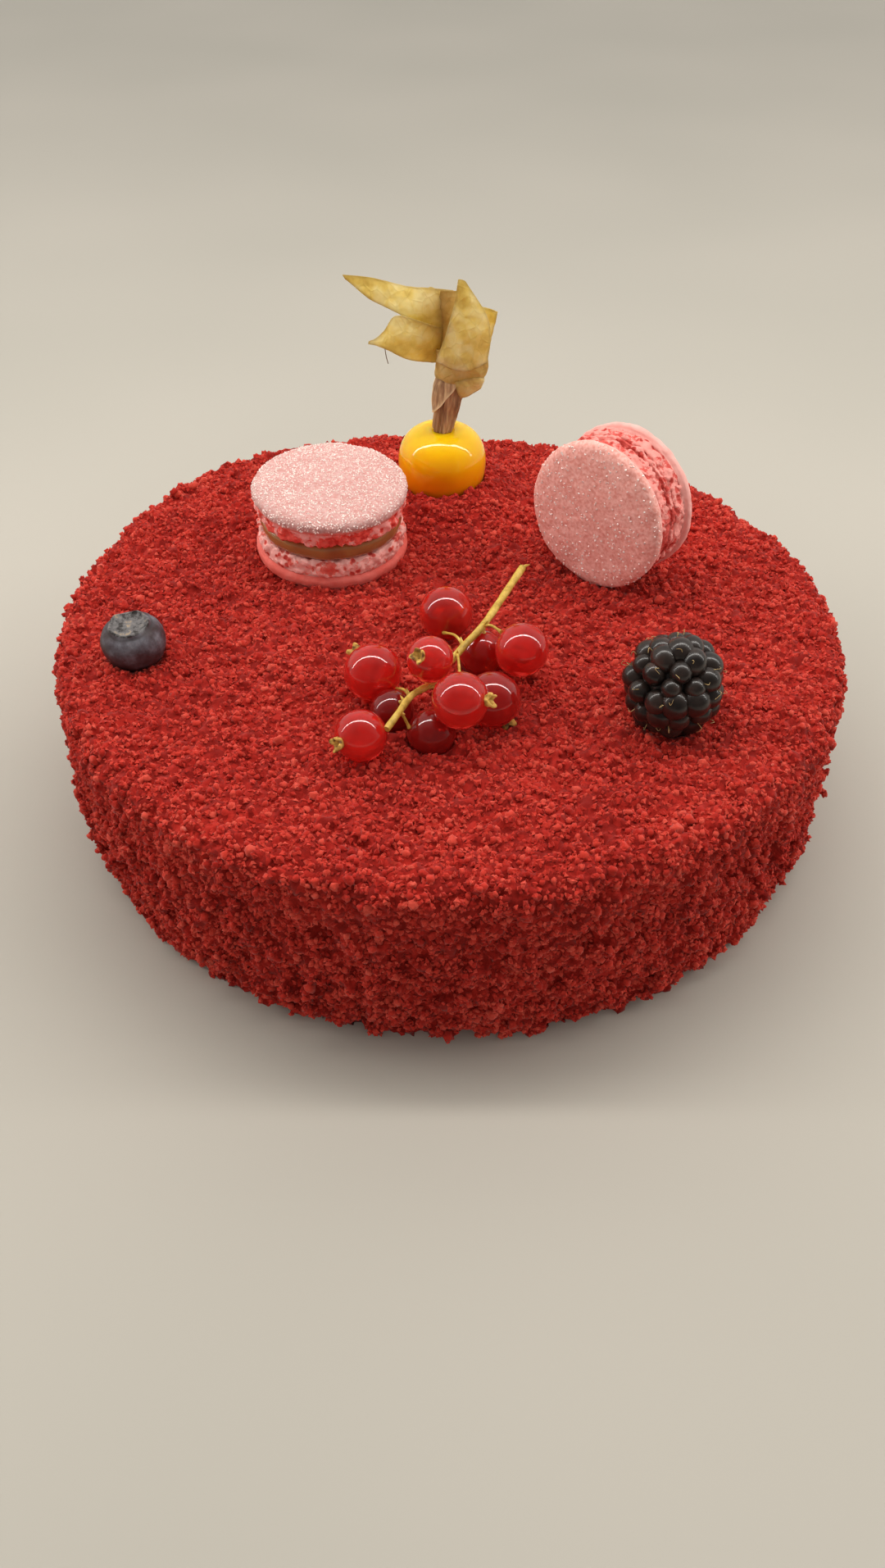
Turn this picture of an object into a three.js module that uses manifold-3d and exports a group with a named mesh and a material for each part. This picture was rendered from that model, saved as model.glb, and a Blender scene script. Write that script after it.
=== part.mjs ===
// A round layer cake of 184 mm, coated all over in crumbs of red sponge, with fruit and two macarons
// pressed into its top. Millimetres, +Z up. The origin is the middle of the flat underside, and the
// front of the cake, with the currants, faces -Y.
import * as THREE from "three";
import { ImprovedNoise } from "three/addons/math/ImprovedNoise.js";
import { mergeVertices } from "three/addons/utils/BufferGeometryUtils.js";
import Module from "manifold-3d";

const wasm = await Module();
wasm.setup();

// Driving sizes. A place is [x, y, z], and a piece's own sizes stand beside it.
const CAKE = { diameter: 184, height: 47.5, shoulder: 5, clump: 5.6, relief: 1.4 };
const GAP = 0.3; // clearance between neighbours
const MACARON = { radius: 18.8, foot: 4.1, sides: 24 };
const LYING_MACARON = {
  at: [-28.2, 28.2, 56.25], axis: [0.02, -0.055, 1], scale: 1, filling: 3.7, filled: 17.2, domes: [4.2, 5.2],
};
const LEANING_MACARON = {
  at: [39.2, 19.2, 63.7], axis: [-0.65, -0.758, 0.02], scale: 0.95, filling: 2, filled: 17, domes: [4.2, 4.2],
};
const GOLDEN_BERRY = { at: [-0.9, 56, 54.8], radius: 11.5, halfHeight: 10.9 };
const BLUEBERRY = { at: [-68.9, -18.7, 51.8], radius: 7.2, halfHeight: 5.8, crownTilt: 7 };
const BRAMBLE = { at: [46.8, -39.6, 56], radius: 8.1, halfHeight: 9, drupelet: 2.4 };

const noise = new ImprovedNoise();
const vector = (x, y, z) => new THREE.Vector3(x, y, z);

// ---- Solids: joining and cutting ----------------------------------------------------------------

// The closed geometry as a solid, its shared corners merged.
function solidOf(geometry) {
  const bare = geometry.clone();
  bare.deleteAttribute("normal");
  bare.deleteAttribute("uv");
  const merged = mergeVertices(bare, 1e-4);
  return new wasm.Manifold(
    new wasm.Mesh({
      numProp: 3,
      vertProperties: merged.attributes.position.array,
      triVerts: new Uint32Array(merged.index.array),
    }),
  );
}

// The solid's surface as a geometry again.
function geometryOf(solid) {
  const mesh = solid.getMesh();
  const corners = new Float32Array(mesh.numVert * 3);
  for (let i = 0; i < mesh.numVert; i++) {
    const start = i * mesh.numProp;
    corners.set(mesh.vertProperties.subarray(start, start + 3), i * 3);
  }
  return new THREE.BufferGeometry()
    .setAttribute("position", new THREE.BufferAttribute(corners, 3))
    .setIndex(new THREE.BufferAttribute(mesh.triVerts, 1));
}

const joined = (geometries) => geometries.map(solidOf).reduce((all, next) => all.add(next));
const cutBy = (solid, geometries) => geometries.reduce((rest, g) => rest.subtract(solidOf(g)), solid);

// ---- Shapes that several pieces share -----------------------------------------------------------

// A profile of [radius, height] pairs, from the lower end of the axis to the upper, turned round +Z.
function turned(profile, sides) {
  const points = profile.map(([radius, height]) => new THREE.Vector2(radius, height));
  return new THREE.LatheGeometry(points, sides).rotateX(Math.PI / 2);
}

// A closed skin over a stack of rings, whose numbers of points may differ. The first and the last
// ring are single points, and each ring's points run anticlockwise seen from the first one.
function skinOver(rings) {
  const triangles = [];
  let start = 0;
  for (let k = 0; k + 1 < rings.length; k++) {
    const [near, far] = [rings[k].length, rings[k + 1].length];
    const next = start + near;
    for (let i = 0, j = 0; (near > 1 && i < near) || (far > 1 && j < far); ) {
      const [a, b] = [start + (i % near), next + (j % far)];
      const farIsBehind = near === 1 || i === near || (j + 1) / far <= (i + 1) / near;
      if (far > 1 && j < far && farIsBehind) {
        j += 1;
        triangles.push(a, b, next + (j % far));
      } else {
        i += 1;
        triangles.push(a, b, start + (i % near));
      }
    }
    start = next;
  }
  return new THREE.BufferGeometry().setFromPoints(rings.flat()).setIndex(triangles);
}

// A round twig that follows a curve and tapers from its first radius to its last.
function twig(curve, firstRadius, lastRadius, sides, steps) {
  const frames = curve.computeFrenetFrames(steps);
  const rings = [[curve.getPointAt(0)]];
  for (let i = 0; i <= steps; i++) {
    const radius = THREE.MathUtils.lerp(firstRadius, lastRadius, i / steps);
    const centre = curve.getPointAt(i / steps);
    const ring = [];
    for (let k = 0; k < sides; k++) {
      const angle = (-2 * Math.PI * k) / sides;
      const across = frames.normals[i].clone().multiplyScalar(Math.cos(angle));
      across.addScaledVector(frames.binormals[i], Math.sin(angle));
      ring.push(centre.clone().addScaledVector(across, radius));
    }
    rings.push(ring);
  }
  rings.push([curve.getPointAt(1)]);
  return skinOver(rings);
}

const curveThrough = (places) => new THREE.CatmullRomCurve3(places.map((p) => vector(...p)));

// Moves every corner by what move(corner) gives. That depends on the corner's place alone, so that
// corners that meet stay together.
function shifted(geometry, move) {
  const place = geometry.attributes.position;
  for (let i = 0; i < place.count; i++) {
    const corner = vector(0, 0, 0).fromBufferAttribute(place, i);
    corner.add(move(corner));
    place.setXYZ(i, ...corner.toArray());
  }
  return geometry;
}

// Turns and moves a geometry that was made round +Z so that its +Z points along axis.
function placed(geometry, at, axis) {
  const turn = new THREE.Quaternion();
  turn.setFromUnitVectors(vector(0, 0, 1), vector(...axis).normalize());
  return geometry.applyQuaternion(turn).translate(...at);
}

// ---- The two macarons ---------------------------------------------------------------------------

// One shell: a smooth crust, domed to the given height over the frilled foot that it rose from. Its
// flat side is at height 0 and the dome points up. The frill is uneven, as its bubbles have burst.
// With grow the shell is a plain one that is larger all round.
function macaronShell(dome, grow = 0) {
  const { radius, foot, sides } = MACARON;
  const reach = radius + grow;
  const profile = [
    [0, -grow],
    [reach - 2.2, -grow],
    [reach - 0.5, 0.9 - grow],
    [reach - 0.2, foot * 0.55],
    [reach - 0.9, foot],
    [reach, foot + 0.15 * dome],
    [0.94 * reach, foot + 0.62 * dome],
    [0.72 * reach, foot + 0.9 * dome],
    [0, foot + dome + grow],
  ];
  const shell = turned(profile, sides);
  if (grow) return shell;
  return shifted(shell, (p) => {
    const isFrill = Math.hypot(p.x, p.y) > radius * 0.8 && p.z > 0.2 && p.z < foot * 0.9;
    const swell = isFrill ? 0.9 * noise.noise(p.x * 0.31, p.y * 0.31, p.z * 0.7) : 0;
    return vector(p.x, p.y, 0).normalize().multiplyScalar(swell);
  });
}

// A whole macaron: its shells face to face over a soft filling that bulges at its edge.
function macaron({ at, axis, scale, filling, filled, domes }) {
  const lift = filling / 2;
  const half = lift - GAP / scale;
  const inside = [[0, -half], [filled - 0.8, -half], [filled, 0], [filled - 0.8, half], [0, half]];
  const layers = [
    macaronShell(domes[0]).translate(0, 0, lift),
    turned(inside, MACARON.sides),
    macaronShell(domes[1]).rotateX(Math.PI).rotateZ(1).translate(0, 0, -lift),
  ];
  return layers.map((layer) => placed(layer.scale(scale, scale, scale), at, axis));
}

// What a macaron takes out of the crumbs that it is pressed into.
function macaronPrint({ at, axis, scale, filling, domes }) {
  const reach = MACARON.radius - 1;
  const lift = filling / 2;
  const grow = 2.5 * GAP; // clears the uneven frill as well
  const middle = [[0, -lift - 1], [reach, -lift - 1], [reach, lift + 1], [0, lift + 1]];
  const print = joined([
    macaronShell(domes[0], grow).translate(0, 0, lift),
    turned(middle, MACARON.sides),
    macaronShell(domes[1], grow).rotateX(Math.PI).translate(0, 0, -lift),
  ]);
  return placed(geometryOf(print).scale(scale, scale, scale), at, axis);
}

// ---- The golden berry and its husk --------------------------------------------------------------

function goldenBerry(grow = 0) {
  const { at, radius, halfHeight } = GOLDEN_BERRY;
  const berry = new THREE.SphereGeometry(1, 16, 10).rotateX(Math.PI / 2);
  return berry.scale(radius + grow, radius + grow, halfHeight + grow).translate(...at);
}

// The dry husk is turned back off the berry. Its lobes spread from the crumpled bunch at the top of
// the neck. Each has the line of its middle, the direction across it and its half widths in turn.
const HUSK_LOBES = [
  {
    line: [[5, 57.5, 91], [-7, 58.5, 95.5], [-24, 56.5, 103.6]],
    across: [0.3, 0.1, 1],
    halfWidths: [8, 7.6, 5.5, 3.4, 0.4],
    fold: 0.12,
  },
  {
    line: [[4, 56.5, 87], [-7, 56, 89.5], [-18.5, 52.5, 88.2]],
    across: [0.1, 0.1, 1],
    halfWidths: [6, 6.3, 5, 3, 0.4],
    fold: -0.15,
  },
  {
    line: [[4.6, 53, 79], [5.8, 50.6, 91], [4, 52, 103.4]],
    across: [1, 0.1, 0],
    halfWidths: [6, 6.3, 5.4, 3.4, 0.8],
    fold: -0.35,
  },
  {
    line: [[7, 56.5, 80], [9.8, 57.5, 88], [12, 56.5, 95.2]],
    across: [0.5, 1, -0.3],
    halfWidths: [4.5, 4.4, 3.6, 2.4, 0.5],
    fold: 0.3,
  },
  {
    line: [[2.5, 58.5, 79], [1, 63, 88], [-4, 64.5, 97.5]],
    across: [1, 0.3, 0.2],
    halfWidths: [6, 6.6, 5.2, 3, 0.4],
    fold: 0.3,
  },
];
const LOBE = { thickness: 0.6, ripple: 0.6, steps: 5, strips: 4 };

// The two faces of a lobe as grids of points, rows along it and strips across it.
function lobeFaces({ line, across, halfWidths, fold }) {
  const curve = curveThrough(line);
  const faces = [[], []];
  for (let i = 0; i <= LOBE.steps; i++) {
    const t = i / LOBE.steps;
    const tangent = curve.getTangentAt(t);
    const out = vector(...across).projectOnPlane(tangent).normalize();
    const up = tangent.clone().cross(out);
    const place = t * (halfWidths.length - 1);
    const from = Math.min(Math.floor(place), halfWidths.length - 2);
    const width = THREE.MathUtils.lerp(halfWidths[from], halfWidths[from + 1], place - from);
    for (let j = 0; j <= LOBE.strips; j++) {
      const v = (2 * j) / LOBE.strips - 1;
      const ripple = LOBE.ripple * Math.sin(9 * t + 3 * v) * Math.min(1, width / 4);
      const lift = fold * width * Math.abs(v) + ripple;
      const middle = curve.getPointAt(t).addScaledVector(out, v * width);
      faces[0].push(middle.clone().addScaledVector(up, lift - LOBE.thickness / 2));
      faces[1].push(middle.clone().addScaledVector(up, lift + LOBE.thickness / 2));
    }
  }
  return faces;
}

// A lobe: a thin wavy sheet whose two faces are split into the same triangles.
function lobe(shape) {
  const faces = lobeFaces(shape);
  const { steps, strips } = LOBE;
  const row = strips + 1;
  const other = faces[0].length;
  const triangles = [];
  const quad = (a, b, c, d) => triangles.push(a, b, c, a, c, d);
  for (let i = 0; i < steps; i++) {
    for (let j = 0; j < strips; j++) {
      const a = i * row + j;
      quad(a, a + 1, a + row + 1, a + row);
      quad(other + a, other + a + row, other + a + row + 1, other + a + 1);
    }
  }
  const rim = [];
  for (let j = 0; j < strips; j++) rim.push(j);
  for (let i = 0; i < steps; i++) rim.push(i * row + strips);
  for (let j = strips; j > 0; j--) rim.push(steps * row + j);
  for (let i = steps; i > 0; i--) rim.push(i * row);
  rim.forEach((a, k) => {
    const b = rim[(k + 1) % rim.length];
    quad(b, a, other + a, other + b);
  });
  return new THREE.BufferGeometry().setFromPoints(faces.flat()).setIndex(triangles);
}

// The neck: a ribbed tube of dry husk that leans to the right as it rises.
function huskNeck() {
  const foot = GOLDEN_BERRY.at[2] + 9.2;
  const rings = [[3.2, 0], [3, 3], [3.7, 7], [3.4, 12], [3, 17]];
  const neck = turned([[0, 0], ...rings, [0, 17]], 14);
  return shifted(neck, (p) => {
    const rib = 0.35 * Math.sin(5 * Math.atan2(p.y, p.x) + 0.25 * p.z);
    const lean = 0.13 * p.z - 0.7;
    return vector(p.x, p.y, 0).normalize().multiplyScalar(rib).add(vector(lean, 55.5, foot));
  });
}

// The bunch: the husk's crumpled middle, flattened from front to back and pleated.
function huskBunch() {
  const bunch = turned([[0, 0], [4.2, 0.4], [6.6, 3], [7.2, 6.5], [6.4, 9.5], [4.4, 13], [0, 14]], 14);
  return shifted(bunch, (p) => {
    const angle = Math.atan2(p.y, p.x);
    const pleat = 0.1 * Math.sin(6 * angle + p.z) + 0.06 * Math.sin(11 * angle);
    return vector(3.4 + p.x * pleat, 55.5 + p.y * (0.62 * pleat - 0.38), 73 - 0.22 * p.x);
  });
}

const husk = () => cutBy(joined([huskNeck(), huskBunch(), ...HUSK_LOBES.map(lobe)]), [goldenBerry(GAP)]);

// ---- The sprig of currants ----------------------------------------------------------------------

// Each currant has the direction in which its stalk leaves it, how far along the stem that stalk
// starts, and the direction of its tail, the dry rest of the flower. One sits on the stem's very end.
const CURRANTS = [
  { at: [0, -8.2, 52], radius: 6.05, stalk: [-0.08, -0.98, -0.19], along: 0.52, tail: [0.1, 0.75, -0.65] },
  { at: [16.1, -26.6, 55.2], radius: 5.8, stalk: [-0.75, 0.3, 0.6], along: 0.635, tail: [0.5, 0.4, -0.75] },
  { at: [-3.35, -35.6, 59.5], radius: 4.85, stalk: [0.41, 0.65, -0.64], along: 0.385, tail: [-0.42, -0.65, 0.63] },
  { at: [-15.7, -30.3, 52], radius: 6.2, stalk: [0.78, -0.5, -0.3], along: 0.185, tail: [-0.57, 0.78, 0.24] },
  { at: [2.75, -47.5, 58.1], radius: 5.8, stalk: [0, 0.98, 0.1], along: 0.475, tail: [0.91, -0.33, 0.26] },
  { at: [9.7, -39.6, 52.1], radius: 5.9, stalk: [-1, 0.1, 0.1], along: 0.268, tail: [0.5, -0.1, -0.85] },
  { at: [-17.3, -50.8, 51.7], radius: 5.35, tail: [-0.74, -0.65, 0.18] },
  { at: [-3.1, -46.4, 48.6], radius: 5.1, stalk: [-0.87, -0.2, 0.45], along: 0.09, tail: [0.6, 0.2, -0.75] },
  { at: [-11.3, -40.1, 49.3], radius: 4.6, stalk: [0.4, -0.4, 0.85], along: 0.15, tail: [-0.2, 0.4, -0.9] },
  { at: [7.8, -20.5, 50], radius: 5, stalk: [0.1, 0.1, 1], along: 0.63, tail: [0.3, 0.5, -0.8] },
];
const STEM = {
  line: [
    [-12, -51.6, 54],
    [-9.7, -47.2, 54.6],
    [-7.2, -40.9, 54.1],
    [-3.35, -36.3, 53.5],
    [-0.6, -31.4, 53.5],
    [4.05, -24.4, 55],
    [8.2, -19.2, 56.6],
    [14.55, -5.2, 57.5],
    [17.5, 0.6, 58.5],
  ],
  tipRadius: 0.75,
  cutRadius: 0.95,
  stalkRadius: 0.45,
};

// A currant and its tail, a short tuft with a ragged end. With grow it is larger all round.
function currant({ at, radius, tail }, grow = 0) {
  const tuft = new THREE.CylinderGeometry(1.4 + grow, 1 + grow, 1.9 + 2 * grow, 5, 1);
  tuft.rotateX(Math.PI / 2);
  shifted(tuft, (p) => vector(0, 0, p.z > 0.9 ? 0.4 * Math.sin(17 * p.x + 5 * p.y) : 0));
  tuft.translate(0, 0, radius + 0.5);
  const berry = new THREE.IcosahedronGeometry(radius + grow, 2);
  return geometryOf(joined([berry.translate(...at), placed(tuft, at, tail)]));
}

// The stem and the currants' stalks, which leave it in shallow arches and stop clear of the berries.
function currantStem() {
  const line = curveThrough(STEM.line);
  const parts = [twig(line, STEM.tipRadius, STEM.cutRadius, 8, 12)];
  for (const { at, radius, stalk, along } of CURRANTS) {
    if (!stalk) continue;
    const from = line.getPointAt(along);
    const to = vector(...at).addScaledVector(vector(...stalk).normalize(), radius + GAP);
    const arch = from.clone().lerp(to, 0.45).add(vector(0, 0, 0.1 * from.distanceTo(to)));
    const way = new THREE.CatmullRomCurve3([from, arch, to]);
    parts.push(twig(way, STEM.stalkRadius * 1.2, STEM.stalkRadius, 5, 2));
  }
  return cutBy(joined(parts), CURRANTS.map((berry) => currant(berry, GAP)));
}

// ---- The blueberry ------------------------------------------------------------------------------

// A round berry with the flower's crown left on it: a shallow crater inside a lobed, raised rim.
function blueberry() {
  const { at, radius, halfHeight, crownTilt } = BLUEBERRY;
  const profile = [[0, -halfHeight]];
  for (const degrees of [-70, -48, -26, -4, 18, 38]) {
    const angle = THREE.MathUtils.degToRad(degrees);
    profile.push([radius * Math.cos(angle), halfHeight * Math.sin(angle)]);
  }
  const rimHeight = 5.3;
  profile.push([4.6, 4.6], [4.2, rimHeight], [3.6, 4.3], [1.4, 4], [0, 4.2]);
  const berry = shifted(turned(profile, 15), (p) => {
    const isRim = p.z > rimHeight - 0.1;
    return vector(0, 0, isRim ? 0.35 * Math.cos(5 * Math.atan2(p.y, p.x)) : 0);
  });
  const tilt = THREE.MathUtils.degToRad(crownTilt);
  return placed(berry, at, [-0.06, -Math.sin(tilt), Math.cos(tilt)]);
}

function blueberryPrint() {
  const { at, radius, halfHeight } = BLUEBERRY;
  const print = new THREE.SphereGeometry(1, 16, 10).rotateX(Math.PI / 2);
  return print.scale(radius + GAP, radius + GAP, halfHeight + 2 * GAP).translate(...at);
}

// ---- The bramble --------------------------------------------------------------------------------

// A dark berry of many juicy drupelets in rings, standing on the end where its stalk was. Each ring
// has its angle down from the berry's top and its number of drupelets.
const DRUPELET_RINGS = [[0, 1], [29, 6], [56, 10], [82, 13], [108, 13], [134, 10], [156, 5]];

function drupelets() {
  const { radius, halfHeight, drupelet } = BRAMBLE;
  return DRUPELET_RINGS.flatMap(([degrees, count], ring) => {
    const down = THREE.MathUtils.degToRad(degrees);
    return Array.from({ length: count }, (_, i) => {
      const round = (2 * Math.PI * (i + 0.5 * (ring % 2))) / count;
      const reach = radius * Math.sin(down);
      const height = halfHeight * Math.cos(down);
      const size = drupelet * (1 + 0.1 * Math.sin(7 * i + 3 * ring));
      return { centre: vector(reach * Math.cos(round), reach * Math.sin(round), height), size };
    });
  });
}

// The berry's skin: every point lies where a ray from the middle leaves the outermost drupelet, or
// at the core where the ray meets none.
function bramble() {
  const beads = drupelets();
  const core = BRAMBLE.radius - 0.3;
  const skin = new THREE.IcosahedronGeometry(1, 7);
  shifted(skin, (direction) => {
    let reach = core;
    for (const { centre, size } of beads) {
      const near = centre.dot(direction);
      const missed = centre.lengthSq() - near * near;
      if (missed < size * size) reach = Math.max(reach, near + Math.sqrt(size * size - missed));
    }
    return direction.clone().multiplyScalar(reach - 1);
  });
  return placed(skin, BRAMBLE.at, [0.03, -0.08, 1]);
}

function bramblePrint() {
  const { at, radius, halfHeight, drupelet } = BRAMBLE;
  const print = new THREE.SphereGeometry(1, 16, 10).rotateX(Math.PI / 2);
  const wide = radius + drupelet + GAP;
  return print.scale(wide, wide, halfHeight + drupelet + GAP).translate(...at);
}

// ---- The cake -----------------------------------------------------------------------------------

// Random numbers from 0 to 1 that are the same each time.
function seededRandom(seed) {
  let state = seed;
  return () => {
    state = (Math.imul(state, 1664525) + 1013904223) >>> 0;
    return state / 2 ** 32;
  };
}

// The outline of the cake's section, from the middle of its top, over the shoulder and down to the
// floor: places at equal steps, each with its radius, height and outward direction.
function cakeSection() {
  const { diameter, height, shoulder, clump, relief } = CAKE;
  const radius = diameter / 2 - relief / 2;
  const flat = radius - shoulder;
  const arc = (shoulder * Math.PI) / 2;
  const total = flat + arc + height - shoulder;
  const rows = Math.round(total / (clump * 0.87));
  return Array.from({ length: rows }, (_, row) => {
    const way = (total * (row + 1)) / rows;
    if (way < flat) return { radius: way, height, out: 0, up: 1 };
    if (way > flat + arc) return { radius, height: total - way, out: 1, up: 0 };
    const turn = (way - flat) / shoulder;
    return {
      radius: flat + shoulder * Math.sin(turn),
      height: height - shoulder * (1 - Math.cos(turn)),
      out: Math.sin(turn),
      up: Math.cos(turn),
    };
  });
}

// The cake before the toppings went on: its outline turned round, with every corner lifted or sunk
// as the crumbs clump, and its underside flat.
function crumbedCake() {
  const random = seededRandom(7);
  const swelling = 11; // how wide the larger rises of the surface are
  const section = cakeSection();
  const rings = section.map(({ radius, height, out, up }, row) => {
    const isBottom = row === section.length - 1;
    const count = Math.round((2 * Math.PI * radius) / CAKE.clump);
    return Array.from({ length: count }, (_, k) => {
      const angle = (2 * Math.PI * (k + 0.5 * (row % 2) + 0.3 * (random() - 0.5))) / count;
      const [x, y] = [radius * Math.cos(angle), radius * Math.sin(angle)];
      const rise = 0.7 * noise.noise(x / swelling, y / swelling, height / swelling);
      const lift = CAKE.relief * (rise + random() - 0.5);
      const reach = 1 + (lift * out) / radius;
      return vector(x * reach, y * reach, isBottom ? 0 : height + lift * up);
    });
  });
  const skin = skinOver([[vector(0, 0, CAKE.height)], ...rings, [vector(0, 0, 0)]]);
  skin.computeBoundingBox();
  const size = skin.boundingBox.getSize(vector(0, 0, 0));
  const middle = skin.boundingBox.getCenter(vector(0, 0, 0));
  return skin.translate(-middle.x, -middle.y, 0).scale(CAKE.diameter / size.x, CAKE.diameter / size.y, 1);
}

function cake() {
  return cutBy(solidOf(crumbedCake()), [
    macaronPrint(LYING_MACARON),
    macaronPrint(LEANING_MACARON),
    goldenBerry(GAP),
    blueberryPrint(),
    bramblePrint(),
    ...CURRANTS.map((berry) => currant(berry, 2 * GAP)),
  ]);
}

// ---- The assembly -------------------------------------------------------------------------------

const finish = (color, roughness) => new THREE.MeshStandardMaterial({ color, roughness, metalness: 0 });
const materials = {
  crumbs: finish(0xa3211b, 0.95),
  macaronCrust: finish(0xe8a79f, 0.8),
  caramel: finish(0x8a4a26, 0.35),
  goldenSkin: finish(0xe39a08, 0.25),
  dryHusk: finish(0xcfae5a, 0.8),
  currantSkin: finish(0xb01414, 0.15),
  greenStem: finish(0xb6a63c, 0.6),
  blueSkin: finish(0x3c414f, 0.6),
  darkSkin: finish(0x1d1518, 0.3),
};

const fruitLayerCake = new THREE.Group();
function add(name, geometry, material) {
  const mesh = new THREE.Mesh(geometry, material);
  mesh.name = name;
  fruitLayerCake.add(mesh);
}

add("cake", geometryOf(cake()), materials.crumbs);
const [upperShell, caramel, lowerShell] = macaron(LYING_MACARON);
add("lying_macaron_upper_shell", upperShell, materials.macaronCrust);
add("lying_macaron_caramel", caramel, materials.caramel);
add("lying_macaron_lower_shell", lowerShell, materials.macaronCrust);
const [frontShell, filling, backShell] = macaron(LEANING_MACARON);
add("leaning_macaron_front_shell", frontShell, materials.macaronCrust);
add("leaning_macaron_filling", filling, materials.caramel);
add("leaning_macaron_back_shell", backShell, materials.macaronCrust);
add("golden_berry", goldenBerry(), materials.goldenSkin);
add("golden_berry_husk", geometryOf(husk()), materials.dryHusk);
add("currant_stem", geometryOf(currantStem()), materials.greenStem);
CURRANTS.forEach((berry, i) => add(`currant_${i + 1}`, currant(berry), materials.currantSkin));
add("blueberry", blueberry(), materials.blueSkin);
add("bramble", bramble(), materials.darkSkin);

export default fruitLayerCake;
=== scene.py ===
import math
import random

import bpy
from mathutils import Matrix, Vector
from mathutils.bvhtree import BVHTree
from mathutils.kdtree import KDTree


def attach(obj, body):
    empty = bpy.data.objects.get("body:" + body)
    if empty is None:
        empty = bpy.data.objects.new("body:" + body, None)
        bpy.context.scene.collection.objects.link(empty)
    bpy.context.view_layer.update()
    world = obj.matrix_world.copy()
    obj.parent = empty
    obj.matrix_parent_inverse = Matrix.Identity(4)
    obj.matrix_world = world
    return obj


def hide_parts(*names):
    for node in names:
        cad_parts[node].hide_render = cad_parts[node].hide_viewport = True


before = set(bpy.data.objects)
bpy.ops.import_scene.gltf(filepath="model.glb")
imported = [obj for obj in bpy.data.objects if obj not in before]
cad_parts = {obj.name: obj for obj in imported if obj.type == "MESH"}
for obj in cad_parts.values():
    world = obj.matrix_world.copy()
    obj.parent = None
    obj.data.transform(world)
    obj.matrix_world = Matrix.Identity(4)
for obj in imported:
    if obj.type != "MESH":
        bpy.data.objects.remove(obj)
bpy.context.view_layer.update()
mm = 0.001


# ---- The crumb crust ----------------------------------------------------------------------------
# The cake's whole outside: cream rolled in the crumbs of a red sponge, which clump as they are
# pressed on. It starts as a drum with a soft shoulder, is meshed finely and then swollen by the
# clumps, and gives way where the fruit and the macarons are pressed into it.
CAKE_RADIUS, CAKE_HEIGHT, SHOULDER = 90.9 * mm, 46.9 * mm, 4.8 * mm


def alone(piece):
    """Makes piece the only selected object, and the active one."""
    bpy.ops.object.select_all(action="DESELECT")
    piece.select_set(True)
    bpy.context.view_layer.objects.active = piece
    return piece


def modified(piece, kind, **settings):
    """Adds a modifier with these settings and applies it."""
    alone(piece)
    modifier = piece.modifiers.new(kind.title(), kind)
    for setting, value in settings.items():
        setattr(modifier, setting, value)
    bpy.ops.object.modifier_apply(modifier=modifier.name)


def swollen(piece, pattern, size, height, middle=0.5, group="", depth=2):
    """Pushes the surface in and out by a solid pattern of this size and height, in mm."""
    texture = bpy.data.textures.new(f"{piece.name} {pattern} {size}", pattern)
    texture.noise_scale = size * mm
    if pattern == "CLOUDS":
        texture.noise_depth = depth
    modified(
        piece,
        "DISPLACE",
        texture=texture,
        texture_coords="LOCAL",
        strength=height * mm,
        mid_level=middle,
        vertex_group=group and group + " group",
    )


def marked(piece, name, weight):
    """Gives every corner a number, weight(place), as a vertex group and as an attribute."""
    group = piece.vertex_groups.new(name=name + " group")
    attribute = piece.data.attributes.new(name, "FLOAT", "POINT")
    values = [weight(corner.co) for corner in piece.data.vertices]
    attribute.data.foreach_set("value", values)
    for i, value in enumerate(values):
        if value > 0:
            group.add([i], value, "REPLACE")


def selected_faces(piece, wanted):
    """Selects the faces that wanted(face) picks, and goes into edit mode."""
    alone(piece)
    bpy.ops.object.mode_set(mode="EDIT")
    bpy.ops.mesh.select_mode(type="FACE")
    bpy.ops.mesh.select_all(action="DESELECT")
    bpy.ops.object.mode_set(mode="OBJECT")
    piece.data.polygons.foreach_set("select", [wanted(face) for face in piece.data.polygons])
    bpy.ops.object.mode_set(mode="EDIT")


bpy.ops.object.select_all(action="DESELECT")
bpy.ops.mesh.primitive_cylinder_add(
    vertices=256, radius=CAKE_RADIUS, depth=CAKE_HEIGHT, location=(0, 0, CAKE_HEIGHT / 2)
)
crust = bpy.context.object
crust.name = "cake_top_crust"
bpy.ops.object.transform_apply(location=True, rotation=True, scale=True)
selected_faces(crust, lambda face: face.normal.z > 0.9)
bpy.ops.mesh.bevel(offset=SHOULDER, segments=8, affect="EDGES")
bpy.ops.object.mode_set(mode="OBJECT")
modified(crust, "REMESH", mode="VOXEL", voxel_size=0.62 * mm)
selected_faces(crust, lambda face: face.normal.z < -0.8 and face.center.z < 0.8 * mm)
bpy.ops.mesh.delete(type="FACE")
bpy.ops.object.mode_set(mode="OBJECT")

marked(crust, "side", lambda place: min(1, max(0, (40 * mm - place.z) / (10 * mm))))
swollen(crust, "CLOUDS", 26, 2.0)
swollen(crust, "CLOUDS", 7, 3.2, group="side")
swollen(crust, "VORONOI", 5.2, -1.7, 0.35)
swollen(crust, "VORONOI", 3.8, -3.6, 0.35, "side")
swollen(crust, "CLOUDS", 2.8, 2.6, group="side", depth=1)
swollen(crust, "CLOUDS", 3.2, 1.5, depth=1)
swollen(crust, "VORONOI", 2.3, -1.7, 0.35)
swollen(crust, "CLOUDS", 1.5, 1.4, depth=1)

# The cake isn't quite round or level. At the back left its rim stands 1.7 mm up and bulges out, at
# the back it dips by 1.6 mm, and its foot is drawn in all round.
HIGH_CORNER, DIP, SHIFT = 133, 80, 0.8 * mm  # the first two in degrees, from +X towards the back
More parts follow.
